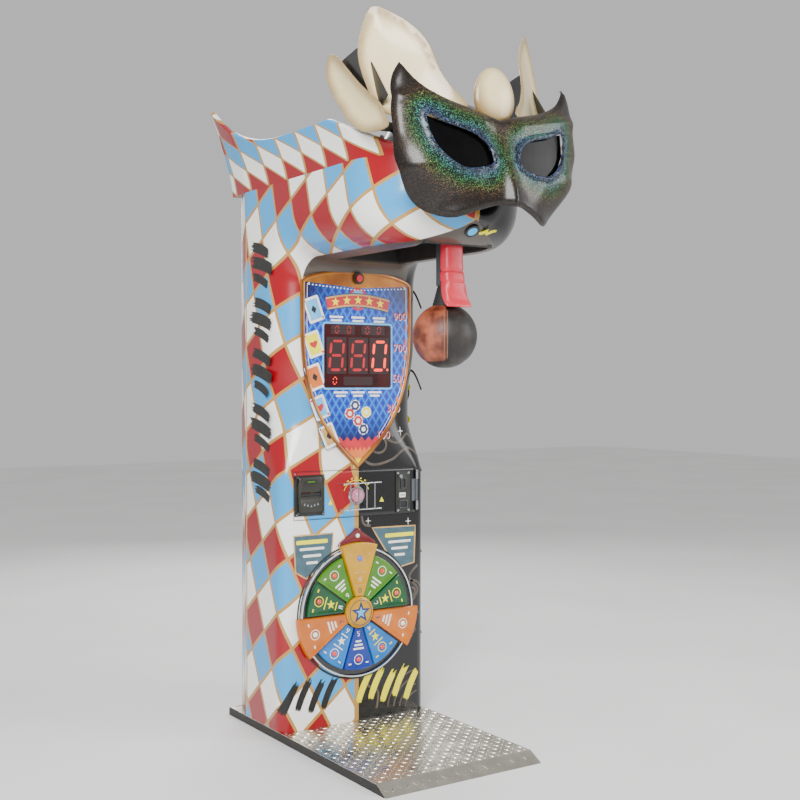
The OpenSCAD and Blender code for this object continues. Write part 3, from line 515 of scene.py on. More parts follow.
class Workshop:
    """Builds the special materials of this machine, each one once."""

    def get(self, kind: Material) -> bpy.types.Material:
        """Returns the material, building it if it is new.

        Args:
            kind: Which material.

        Returns:
            The material.
        """
        known = bpy.data.materials.get(kind.value)
        if known:
            return known
        made = bpy.data.materials.new(kind.value)
        made.use_nodes = True
        made.node_tree.nodes.clear()
        maker = {Material.BODY: self.body, Material.CROWN: self.crown, Material.GLITTER: self.glitter,
                 Material.PETAL: self.petal, Material.TREAD: self.tread, Material.LEATHER: self.leather,
                 Material.VINYL: self.vinyl, Material.SHIELD: self.shield}[kind]
        shader = maker(made.node_tree)
        add(made.node_tree, "OutputMaterial", {"Surface": shader})
        return made

    def harlequin(self, tree: bpy.types.NodeTree) -> bpy.types.NodeSocket:
        """Red, blue and white diamonds with gold lines, from the lattice in the first UV map.

        Args:
            tree: Tree that gets the nodes.

        Returns:
            The colour.
        """
        uv = add(tree, "UVMap", out="UV", uv_map="lattice")
        across = add(tree, "SeparateXYZ", {0: uv}, "X")
        down = add(tree, "SeparateXYZ", {0: uv}, "Y")
        cells = [maths(tree, "FLOOR", v) for v in (across, down)]
        step = maths(tree, "SUBTRACT", cells[1], cells[0])
        kind = maths(tree, "FLOORED_MODULO", step, 3.0)
        ramp = tree.nodes.new("ShaderNodeValToRGB")
        ramp.color_ramp.interpolation = "CONSTANT"
        ramp.color_ramp.elements[0].color = linear("#fdfcf8")
        ramp.color_ramp.elements[1].color = linear("#9a0014")
        ramp.color_ramp.elements[1].position = 0.25
        ramp.color_ramp.elements.new(0.6).color = linear("#3ba2e2")
        tree.links.new(maths(tree, "DIVIDE", kind, 3.0), ramp.inputs[0])
        edges = []
        for value in (across, down):
            part = maths(tree, "FRACT", value)
            off = maths(tree, "SUBTRACT", part, 0.5)
            edges.append(maths(tree, "ABSOLUTE", off))
        edge = maths(tree, "MAXIMUM", edges[0], edges[1])
        # Lines about 10 mm wide on cells about 120 mm across
        line = map_to(tree, edge, 0.452, 0.456)
        gold_mottle = add(tree, "TexNoise", {"Vector": add(tree, "TexCoord", out="Object"),
                                             "Scale": per_mm(60)}, "Fac")
        gold = blend_of(tree, gold_mottle, linear("#a87b32"), linear("#c79c55"))
        return blend_of(tree, line, ramp.outputs[0], gold)

    def film(self, tree: bpy.types.NodeTree, colour: bpy.types.NodeSocket,
             rough: bpy.types.NodeSocket | float) -> bpy.types.NodeSocket:
        """Glossy laminated film with the faint orange peel of the moulding under it."""
        place = add(tree, "TexCoord", out="Object")
        peel = add(tree, "TexNoise", {"Vector": place, "Scale": per_mm(14), "Detail": 2.0}, "Fac")
        bump = add(tree, "Bump", {"Height": peel, "Strength": 1.0, "Distance": 0.06 * MM})
        return add(tree, "BsdfPrincipled", {"Base Color": colour, "Roughness": rough, "Normal": bump,
                                            "Coat Weight": 0.3, "Coat Roughness": 0.05}, "BSDF")

    def halves(self, tree: bpy.types.NodeTree, left: bpy.types.NodeSocket) -> bpy.types.NodeSocket:
        """Diamonds on the player's left, deep black on the right, a gold strip between."""
        place = add(tree, "TexCoord", out="Object")
        x = add(tree, "SeparateXYZ", {0: place}, "X")
        cloud = add(tree, "TexNoise", {"Vector": place, "Scale": per_mm(180), "Detail": 3.0}, "Fac")
        black = blend_of(tree, cloud, linear("#030305"), linear("#0a0a0d"))
        right = maths(tree, "GREATER_THAN", x, 0.0)
        both = blend_of(tree, right, left, black)
        away = maths(tree, "ABSOLUTE", x)
        strip = maths(tree, "LESS_THAN", away, 9 * MM)
        return blend_of(tree, strip, both, linear("#b58a42"))

    def body(self, tree: bpy.types.NodeTree) -> bpy.types.NodeSocket:
        """Printed film over the column and arm, with a plain dark underside."""
        colour = self.halves(tree, self.harlequin(tree))
        depth = add(tree, "SeparateXYZ", {0: add(tree, "UVMap", out="UV", uv_map="depth")}, "X")
        under = maths(tree, "LESS_THAN", depth, 0.0)
        place = add(tree, "TexCoord", out="Object")
        cloud = add(tree, "TexNoise", {"Vector": place, "Scale": per_mm(120), "Detail": 4.0}, "Fac")
        dark = blend_of(tree, cloud, linear("#3b342e"), linear("#5a5148"))
        tone = blend_of(tree, under, colour, dark)
        rough = map_to(tree, under, start=0.24, end=0.42)
        return self.film(tree, tone, rough)

    def crown(self, tree: bpy.types.NodeTree) -> bpy.types.NodeSocket:
        """Printed film over the crown's flanks."""
        return self.film(tree, self.halves(tree, self.harlequin(tree)), 0.24)

    def glitter(self, tree: bpy.types.NodeTree) -> bpy.types.NodeSocket:
        """Black lacquer full of small holographic flakes under a thick clear coat."""
        place = add(tree, "TexCoord", out="Object")
        # Flakes are 0.4 mm; drawn at 1.6 mm so that single sparks still show
        flake = add(tree, "TexVoronoi", {"Vector": place, "Scale": per_mm(1.6)}, "Color")
        pick = add(tree, "SeparateColor", {0: flake}, "Red")
        hue = add(tree, "SeparateColor", {0: flake}, "Green")
        # Flake bands run from blue at the eye through green to red, then fade out
        away = add(tree, "SeparateXYZ", {0: add(tree, "UVMap", out="UV", uv_map="eye")}, "X")
        wander = add(tree, "TexNoise", {"Vector": place, "Scale": per_mm(120), "Detail": 2.0}, "Fac")
        band = maths(tree, "MULTIPLY_ADD", wander, 0.5, away)
        spread = maths(tree, "MULTIPLY", hue, 0.12)
        shift = map_to(tree, band, 0.3, 1.0, 0.56, 0.0)
        thin = map_to(tree, band, 0.55, 1.2, 0.9, 0.12)
        turn = maths(tree, "ADD", shift, spread)
        colour = add(tree, "CombineColor", {0: turn, 1: 0.75, 2: 0.42}, 0, mode="HSV")
        chosen = map_to(tree, pick, 0.7, 1.0, 0.0, 1.0)
        shown = maths(tree, "MULTIPLY", chosen, thin)
        base = blend_of(tree, shown, linear("#030303"), colour)
        tilt = add(tree, "TexNoise", {"Vector": place, "Scale": per_mm(1.4), "Detail": 1.0}, "Fac")
        bump = add(tree, "Bump", {"Height": tilt, "Strength": 1.0, "Distance": 0.09 * MM})
        return add(tree, "BsdfPrincipled", {"Base Color": base, "Metallic": 0.0, "Roughness": 0.34,
                                            "Normal": bump, "IOR": 1.4, "Coat Weight": 0.2, "Coat Roughness": 0.15},
                   "BSDF")

    def petal(self, tree: bpy.types.NodeTree) -> bpy.types.NodeSocket:
        """Cream gelcoat, darker tan towards the rim and the root."""
        rim = add(tree, "SeparateXYZ", {0: add(tree, "UVMap", out="UV", uv_map="rim")}, "X")
        place = add(tree, "TexCoord", out="Object")
        cloud = add(tree, "TexNoise", {"Vector": place, "Scale": per_mm(140), "Detail": 3.0}, "Fac")
        uneven = map_to(tree, cloud, start=-0.25, end=0.25)
        total = add(tree, "Math", {0: rim, 1: uneven}, operation="ADD", use_clamp=True)
        base = blend_of(tree, total, linear("#8f7140"), linear("#efdba6"))
        fine = add(tree, "TexNoise", {"Vector": place, "Scale": per_mm(9), "Detail": 3.0}, "Fac")
        bump = add(tree, "Bump", {"Height": fine, "Strength": 1.0, "Distance": 0.05 * MM})
        return add(tree, "BsdfPrincipled", {"Base Color": base, "Roughness": 0.34, "Normal": bump,
                                            "Coat Weight": 0.45, "Coat Roughness": 0.12}, "BSDF")

    def tread(self, tree: bpy.types.NodeTree) -> bpy.types.NodeSocket:
        """Mill-finish aluminium, brushed by shoes, with dull scuffs between the lugs."""
        place = add(tree, "TexCoord", out="Object")
        long = add(tree, "Mapping", {"Vector": place, "Scale": (1.0, 0.06, 1.0)})
        brush = add(tree, "TexNoise", {"Vector": long, "Scale": per_mm(1.4), "Detail": 4.0}, "Fac")
        scuff = add(tree, "TexNoise", {"Vector": place, "Scale": per_mm(55), "Detail": 6.0}, "Fac")
        rough = map_to(tree, scuff, 0.3, 0.7, 0.13, 0.36)
        tone = blend_of(tree, scuff, linear("#b9b3a6"), linear("#e6e0d2"))
        bump = add(tree, "Bump", {"Height": brush, "Strength": 1.0, "Distance": 0.03 * MM})
        return add(tree, "BsdfPrincipled", {"Base Color": tone, "Metallic": 1.0, "Roughness": rough,
                                            "Normal": bump}, "BSDF")

    def leather(self, tree: bpy.types.NodeTree) -> bpy.types.NodeSocket:
        """Brown hide on one half and grey hide on the other, in pebbled grain with worn patches."""
        place = add(tree, "TexCoord", out="Object")
        side = add(tree, "SeparateXYZ", {0: add(tree, "UVMap", out="UV", uv_map="panel")}, "X")
        grey = maths(tree, "GREATER_THAN", side, 0.0)
        wear = add(tree, "TexNoise", {"Vector": place, "Scale": per_mm(48), "Detail": 6.0}, "Fac")
        patch = map_to(tree, wear, 0.4, 0.62)
        brown = blend_of(tree, patch, linear("#5c2410"), linear("#a4573a"))
        dark = blend_of(tree, patch, linear("#0f0b09"), linear("#2c2520"))
        tone = blend_of(tree, grey, brown, dark)
        # Grain cells of 2 mm, as on thick cowhide
        pebble = add(tree, "TexVoronoi", {"Vector": place, "Scale": per_mm(2.2)}, "Distance",
                     feature="DISTANCE_TO_EDGE")
        crease = map_to(tree, pebble, high=0.22)
        bump = add(tree, "Bump", {"Height": crease, "Strength": 1.0, "Distance": 0.16 * MM})
        rough = map_to(tree, wear, start=0.34, end=0.6)
        return add(tree, "BsdfPrincipled", {"Base Color": tone, "Roughness": rough, "Normal": bump,
                                            "Coat Weight": 0.15, "Coat Roughness": 0.3}, "BSDF")

    def vinyl(self, tree: bpy.types.NodeTree) -> bpy.types.NodeSocket:
        """Red upholstery vinyl: leather-grain emboss, soft gloss, paler where it is rubbed."""
        place = add(tree, "TexCoord", out="Object")
        rub = add(tree, "TexNoise", {"Vector": place, "Scale": per_mm(60), "Detail": 4.0}, "Fac")
        tone = blend_of(tree, rub, linear("#c20c22"), linear("#e03048"))
        grain = add(tree, "TexVoronoi", {"Vector": place, "Scale": per_mm(1.8)}, "Distance",
                    feature="DISTANCE_TO_EDGE")
        crease = add(tree, "TexNoise", {"Vector": place, "Scale": per_mm(22), "Detail": 2.0}, "Fac")
        height = maths(tree, "MULTIPLY_ADD", grain, 0.5, crease)
        bump = add(tree, "Bump", {"Height": height, "Strength": 1.0, "Distance": 0.5 * MM})
        return add(tree, "BsdfPrincipled", {"Base Color": tone, "Roughness": 0.38, "Normal": bump,
                                            "Coat Weight": 0.2, "Coat Roughness": 0.25}, "BSDF")

    def shield(self, tree: bpy.types.NodeTree) -> bpy.types.NodeSocket:
        """Acrylic panel printed from behind: bright blue diamonds that darken to violet corners."""
        place = add(tree, "TexCoord", out="Object")
        across = add(tree, "SeparateXYZ", {0: place}, "X")
        up = add(tree, "SeparateXYZ", {0: place}, "Z")
        waves = []
        for sign in (1.0, -1.0):
            # Diamonds 30 mm wide and 46 mm high
            slant = maths(tree, "MULTIPLY_ADD", up, sign * 0.65, across)
            cycle = maths(tree, "MULTIPLY", slant, per_mm(30))
            part = maths(tree, "FRACT", cycle)
            off = maths(tree, "SUBTRACT", part, 0.5)
            waves.append(maths(tree, "ABSOLUTE", off))
        edge = maths(tree, "MAXIMUM", waves[0], waves[1])
        line = map_to(tree, edge, 0.40, 0.47)
        cell = map_to(tree, edge, 0.1, 0.4)
        fill = blend_of(tree, cell, linear("#06219a"), linear("#0450c4"))
        lattice = blend_of(tree, line, fill, linear("#1487e6"))
        away = maths(tree, "ABSOLUTE", across)
        height = map_to(tree, up, 1.42, 1.54)
        corner = map_to(tree, away, 0.06, 0.2)
        foot = map_to(tree, up, 1.12, 1.02)
        dark = add(tree, "Math", {0: height, 1: corner, 2: foot}, operation="MULTIPLY_ADD", use_clamp=True)
        base = blend_of(tree, dark, lattice, linear("#120a44"))
        return add(tree, "BsdfPrincipled", {"Base Color": base, "Roughness": 0.25, "Coat Weight": 0.2,
                                            "Coat Roughness": 0.05}, "BSDF")


WORKSHOP = Workshop()


# ---- cabinet ----------------------------------------------------------------

@dataclass
class Moulding:
    """The surface that the column and the arm share, swept along an L-shaped path."""

    body_hw: float = 298.0
    back_hw: float = 252.0
    back_y: float = 522.0
    shoulder_y: float = 394.0
    front_y: float = 122.0
    foot_z: float = 29.0
    seam_z: float = 1906.0
    arm_z: float = 1645.0
    arm_r: float = 145.0
    cove_r: float = 78.0
    nose_start: float = -326.0
    nose_l: float = 258.0
    corner_r: float = 45.0
    waist_r: float = 170.0
    shoulder_r: float = 118.0
    # Lattice of the printed diamonds: origin, the two cell edges, and how they fan out with height
    lattice_origin: Point2 = (-454.0, 1672.0)
    rising_edge: Point2 = (91.0, 77.0)
    falling_edge: Point2 = (62.0, -113.0)
    fan: float = 0.233
    lean: float = 6.5e-5
    # Unrolled depth at which the print ends under the arm
    print_end: float = -33.0

    def column_r(self, z: float) -> float:
        """Front corner radius of the column at a height."""
        if z < 1125:
            return mix(self.corner_r, self.waist_r, smooth((z - 890) / 210))
        return mix(self.waist_r, self.shoulder_r, smooth((z - 1165) / 200))

    def arm_hw(self, y: float, inset: float = 0.0) -> float:
        """Half width of the arm at a distance along Y."""
        u = max(0.0, self.nose_start - y) / (self.nose_l - inset)
        return (self.body_hw - inset) * math.sqrt(max(0.0012, 1 - u * u))

    def arm_under(self, y: float, inset: float = 0.0) -> float:
        """Height of the arm's underside at a distance along Y."""
        rise = self.nose_l - 104
        u = min(1.0, max(0.0, self.nose_start - 104 - y) / rise)
        return self.arm_z + inset + 100 * (1 - math.sqrt(1 - u * u))

    def front_point(self, x: float, z: float, lift: float = 0.0) -> Point3:
        """Point of the column's front or corner at x and a height, lifted off the surface."""
        r = self.column_r(z)
        over = min(r, max(0.0, abs(x) - (self.body_hw - r)))
        turn = math.asin(over / r)
        return (x + math.copysign(lift * math.sin(turn), x), self.front_y + r - (r + lift) * math.cos(turn), z)

    def lattice(self, s: float, z: float) -> Point2:
        """Diamond lattice coordinates at unrolled distance s and height z."""
        flat_s = s - self.lattice_origin[0] - self.lean * z * z
        flat_z = z - self.lattice_origin[1] + self.fan * s * z / self.seam_z
        (ax, az), (bx, bz) = self.rising_edge, self.falling_edge
        det = ax * bz - az * bx
        return ((flat_s * bz - flat_z * bx) / det, (ax * flat_z - az * flat_s) / det)

    def unroll(self, p: Point3) -> tuple[Point2, float]:
        """Lattice coordinates and unrolled depth of a surface point.

        Args:
            p: Point in millimetres.

        Returns:
            The lattice coordinates, and the depth past which the print ends.
        """
        x, y, z = abs(p[0]), p[1], p[2]
        cove_y, cove_z = self.front_y - self.cove_r, self.arm_z - self.cove_r
        if y < cove_y:
            base, normal = (y, self.arm_under(y)), (0.0, 1.0)
            depth, r, hw = z - base[1], self.arm_r, self.arm_hw(y)
        elif z > cove_z:
            reach = math.hypot(y - cove_y, z - cove_z) or 1.0
            normal = ((y - cove_y) / reach, (z - cove_z) / reach)
            base = (cove_y + normal[0] * self.cove_r, cove_z + normal[1] * self.cove_r)
            turn = math.atan2(normal[1], normal[0]) / (math.pi / 2)
            depth, hw = reach - self.cove_r, self.body_hw
            r = mix(self.shoulder_r, self.arm_r, smooth(turn))
        else:
            base, normal = (self.front_y, z), (1.0, 0.0)
            depth, r, hw = y - self.front_y, self.column_r(z), self.body_hw
        r = min(r, hw)
        if x < hw - r:
            depth = r - r * math.pi / 2 - (hw - r - x)
        elif depth < r:
            depth = r - r * (math.pi / 2 - math.asin(min(1.0, max(0.0, (x - (hw - r)) / r))))
        s, flat_z = -(base[0] + normal[0] * depth), base[1] + normal[1] * depth
        if y < self.nose_start:
            u = min(1.0, (self.nose_start - y) / self.nose_l)
            s = -self.nose_start + self.nose_arc(math.asin(u))
        printed = depth - self.print_end if (z > cove_z or y < cove_y) else 1.0
        return self.lattice(s, flat_z), printed

    def nose_arc(self, turn: float) -> float:
        """Distance along the nose's oval from its start to an angle."""
        steps = 24
        total = 0.0
        for k in range(steps):
            a = turn * (k + 0.5) / steps
            total += math.hypot(self.nose_l * math.cos(a), self.body_hw * math.sin(a)) * turn / steps
        return total


@dataclass
class Cabinet:
    """Column and arm moulding with its openings and its print."""

    form: Moulding = field(default_factory=Moulding)
    wall: float = 6.0
    door: tuple[float, float, float] = (500.0, 166.0, 836.0)
    wheel_z: float = 417.0
    reset_z: float = 1592.0
    rear: tuple[float, float, float] = (340.0, 900.0, 700.0)

    def ring(self, base: Point2, normal: Point2, r: float, hw: float, spread: tuple[Point2, Point2, float],
             inset: float) -> list[Point3]:
        """One closed ring round the moulding.

        Args:
            base: Point (Y, Z) of the path on the middle plane.
            normal: Direction into the body in the middle plane.
            r: Radius of the rounded edge.
            hw: Half width of the section.
            spread: Where the side wall ends, where the far corner lies, and the far corner's half width.
            inset: Distance in from the outer skin.

        Returns:
            The points of the ring.
        """
        base = (base[0] + normal[0] * inset, base[1] + normal[1] * inset)
        r, hw = max(4.0, r - inset), hw - inset
        r = min(r, hw)
        half = [(hw - r) * k / 4 for k in range(4)]
        side = [(x, *base) for x in half]
        for k in range(11):
            turn = math.radians(90 * k / 10)
            depth = r * (1 - math.cos(turn))
            side.append((hw - r + r * math.sin(turn), base[0] + normal[0] * depth, base[1] + normal[1] * depth))
        wall, far, far_hw = spread
        edge = side[-1]
        for k in range(1, 13):
            side.append((hw, mix(edge[1], wall[0], k / 12), mix(edge[2], wall[1], k / 12)))
        side += [(far_hw * t, far[0], far[1]) for t in (1.0, 0.5, 0.0)]
        return side + [(-x, y, z) for x, y, z in reversed(side[1:-1])]

    def skin(self, inset: float) -> list[list[Point3]]:
        """Rings of the whole moulding, from the foot of the column to the tip of the nose."""
        f = self.form
        top, back, far_hw = f.seam_z - inset, f.back_y - inset, f.back_hw - inset
        cove_y, cove_z = f.front_y - f.cove_r, f.arm_z - f.cove_r
        rings = []
        heights = [f.foot_z + inset + (890 - f.foot_z) * k / 24 for k in range(24)]
        heights += [890 + 475 * k / 26 for k in range(26)] + [1365 + (cove_z - 1365) * k / 6 for k in range(7)]
        for z in heights:
            spread = ((f.shoulder_y, z), (back, z), far_hw)
            rings.append(self.ring((f.front_y, z), (1, 0), f.column_r(z), f.body_hw, spread, inset))
        for k in range(1, 15):
            turn = math.radians(90 * k / 14)
            z = mix(cove_z, top, k / 14)
            r = mix(f.shoulder_r, f.arm_r, smooth(k / 14))
            base = (cove_y + f.cove_r * math.cos(turn), cove_z + f.cove_r * math.sin(turn))
            spread = ((f.shoulder_y, z), (back, z), far_hw)
            rings.append(self.ring(base, (math.cos(turn), math.sin(turn)), r, f.body_hw, spread, inset))
        reach = f.nose_l - inset
        ys = [mix(cove_y, f.nose_start, k / 14) for k in range(1, 15)]
        ys += [f.nose_start - reach * math.sin(math.radians(88 * k / 26)) for k in range(1, 27)]
        for n, y in enumerate(ys):
            t = min(1.0, (n + 1) / 14)
            hw = f.arm_hw(y, inset) + inset
            wall_y = y + (f.shoulder_y - cove_y) * (1 - t)
            far_y = wall_y + (f.back_y - f.shoulder_y) * (1 - t)
            spread = ((wall_y, top), (far_y, top), min(far_hw, hw - inset))
            under = f.arm_under(y, inset) - inset
            rings.append(self.ring((y, under), (0, 1), f.arm_r, hw, spread, inset))
        return rings

    def cutters(self) -> bpy.types.Object:
        """One object with every opening in the moulding."""
        cut = Mesh("openings")
        f = self.form

        def box(lo: Point3, hi: Point3) -> None:
            """Adds a box between two corners."""
            plan = [(lo[0], lo[1]), (hi[0], lo[1]), (hi[0], hi[1]), (lo[0], hi[1])]
            cut.rings([[(x, y, lo[2]) for x, y in plan], [(x, y, hi[2]) for x, y in plan]])

        def hole(place: Callable[[float, float, float], Point3], r: float, near: float, deep: float) -> None:
            """Adds a round cutter."""
            circle = arc(0, 0, r, 0, 352.5, 47)
            cut.rings([[place(u, v, near) for u, v in circle], [place(u, v, deep) for u, v in circle]])

        box((-128.3, -490.3, 1600), (128.3, 40.8, 1700))
        box((-150, 90, 1190), (150, 170, 1450))
        w, h, z = self.door
        box((-w / 2 - 1.5, 100, z - h / 2 - 1.5), (w / 2 + 1.5, 170, z + h / 2 + 1.5))
        hole(lambda u, v, d: (u, d, self.wheel_z + v), 150, 100, 160)
        hole(lambda u, v, d: (u, d, self.reset_z + v), 14.5, 60, 170)
        hole(StartButton().place, 24.5, -30, 30)
        w, h, z = self.rear
        box((-w / 2 - 1.5, f.back_y - 30, z - h / 2 - 1.5), (w / 2 + 1.5, f.back_y + 20, z + h / 2 + 1.5))
        box((180.5, f.back_y - 30, 125.5), (229.5, f.back_y + 20, 154.5))
        for k in range(6):
            box((-90, f.back_y - 30, 1620 + 22 * k), (90, f.back_y + 20, 1630 + 22 * k))
        data = bpy.data.meshes.new(cut.name)
        data.from_pydata([Vector(v) * MM for v in cut.verts], [], cut.faces)
        tool = bpy.data.objects.new(cut.name, data)
        bpy.context.scene.collection.objects.link(tool)
        fix = bmesh.new()
        fix.from_mesh(data)
        bmesh.ops.recalc_face_normals(fix, faces=fix.faces)
        fix.to_mesh(data)
        fix.free()
        return tool

    def face_outward(self, data: bpy.types.Mesh) -> None:
        """Turns the outer skin's faces out and the inner skin's faces in, so that the wall is solid."""
        fix = bmesh.new()
        fix.from_mesh(data)
        bmesh.ops.recalc_face_normals(fix, faces=fix.faces)
        half = len(fix.faces) // 2
        fix.faces.ensure_lookup_table()
        bmesh.ops.reverse_faces(fix, faces=fix.faces[half:])
        fix.to_mesh(data)
        fix.free()

    def build(self) -> bpy.types.Object:
        """Builds the shell, cuts its openings and maps the print.

        Returns:
            The finished shell.
        """
        shell = Mesh("moulded_shell")
        shell.rings(self.skin(0.0))
        shell.rings([list(reversed(r)) for r in self.skin(self.wall)])
        data = bpy.data.meshes.new(shell.name)
        data.from_pydata([Vector(v) * MM for v in shell.verts], [], shell.faces)
        self.face_outward(data)
        piece = bpy.data.objects.new(shell.name, data)
        bpy.context.scene.collection.objects.link(piece)
        tool = self.cutters()
        cut = piece.modifiers.new("openings", "BOOLEAN")
        cut.operation = "DIFFERENCE"
        cut.solver = "EXACT"
        cut.object = tool
        bpy.context.view_layer.update()
        done = bpy.data.meshes.new_from_object(piece.evaluated_get(bpy.context.evaluated_depsgraph_get()))
        piece.modifiers.clear()
        piece.data = done
        bpy.data.objects.remove(tool)
        lattice = done.uv_layers.new(name="lattice")
        depth = done.uv_layers.new(name="depth")
        for loop in done.loops:
            point, printed = self.form.unroll(tuple(done.vertices[loop.vertex_index].co / MM))
            lattice.data[loop.index].uv = point
            depth.data[loop.index].uv = (printed * 0.01, 0.0)
        return settle(piece, CABINET, [WORKSHOP.get(Material.BODY)], "harlequin", ["cabinet_shell"], 38)


@dataclass
class StartButton:
    """The round button on the nose, and the plane it sits on."""

    centre: Point3 = (0.0, -555.1, 1689.0)
    tilt: float = 142.0

    def place(self, u: float, v: float, lift: float) -> Point3:
        """Point at (across, up the face, out of the face) of the button's plane."""
        turned = Matrix.Rotation(math.radians(self.tilt), 3, "X") @ Vector((u, v, lift))
        return tuple(Vector(self.centre) + turned)


@dataclass
class Crown:
    """Flared rail with a bowed top edge that sweeps up to two rear tips."""

    form: Moulding = field(default_factory=Moulding)
    front_y: float = -505.0
    top_end: float = -260.0
    # Lattice of the crown: first node, cell length, drop of a row and forward run of the shallow lines
    first_node: float = -221.0
    cell_l: float = 133.0
    row_h: float = 70.0
    shallow_run: float = 140.0
    steep_run: float = 8.0

    def flare(self, y: float) -> float:
        """How far the top leans out at a distance along Y."""
        return 36 + 54 * max(0.0, (y + 100) / (self.form.back_y + 100)) ** 2.2

    def top(self, y: float) -> float:
        """Height of the top edge at a distance along Y."""
        if y < self.top_end:
            fall = max(0.0, 1 - (self.top_end - y) / 270)
            return mix(self.form.seam_z + 2, self.form.seam_z + 134, fall ** 0.8)
        return self.form.seam_z + 138 + 166 * max(0.0, (y + 40) / (self.form.back_y + 40)) ** 3

    def foot(self, y: float) -> float:
        """Half width where the crown meets the body."""
        f = self.form
        if y < f.nose_start:
            return f.arm_hw(y)
        if y > f.shoulder_y:
            return mix(f.body_hw, f.back_hw + 34, (y - f.shoulder_y) / (f.back_y - f.shoulder_y))
        return f.body_hw

    def ring(self, y: float) -> list[Point3]:
        """Section of one flank at a distance along Y."""
        seam, hw, top = self.form.seam_z + 0.3, self.foot(y), self.top(y)
        out = self.flare(y) * min(1.0, (top - seam) / 134)
        steps = 10
        outer = [(hw + out * (k / steps) ** 1.5, y, mix(seam, top - 5, k / steps)) for k in range(steps + 1)]
        lip = [(hw + out - 2, y, top - 1), (hw + out - 7, y, top + 1), (hw + out - 17, y, top + 2)]
        inner = [(hw + out - 22, y, top - 3)]
        inner += [(mix(hw + out - 22, hw - 12, k / 5), y, mix(top - 3, seam, (k / 5) ** 0.8)) for k in range(1, 6)]
        return outer + lip + inner

    def build(self) -> bpy.types.Object:
        """Builds both flanks and the roof boards, and maps the print.

        Returns:
            The crown.
        """
        made = Mesh("crown_flanks")
        steps = 64
        ys = [mix(self.form.back_y, self.front_y, k / steps) for k in range(steps + 1)]
        right = [self.ring(y) for y in ys]
        made.rings(right)
        made.rings([[(-x, y, z) for x, y, z in ring] for ring in right])
        seam = self.form.seam_z
        for half, near, far in ((289, -326, 394), (272, 394, 522), (200, -510, -326)):
            plan = [(-half, near), (half, near), (half, far), (-half, far)]
            made.rings([[(x, y, seam + 1) for x, y in plan], [(x, y, seam + 6) for x, y in plan]])
        piece = made.make(CABINET, [WORKSHOP.get(Material.CROWN)], "harlequin", ["crown"], 40)
        layer = piece.data.uv_layers.new(name="lattice")
        for loop in piece.data.loops:
            x, y, z = piece.data.vertices[loop.vertex_index].co / MM
            row = 1 - (z - seam) / self.row_h
            ahead = -y - self.first_node
            layer.data[loop.index].uv = ((ahead - self.shallow_run * row) / self.cell_l,
                                         (ahead - self.steep_run * row) / self.cell_l)
        return piece


# ---- head -------------------------------------------------------------------

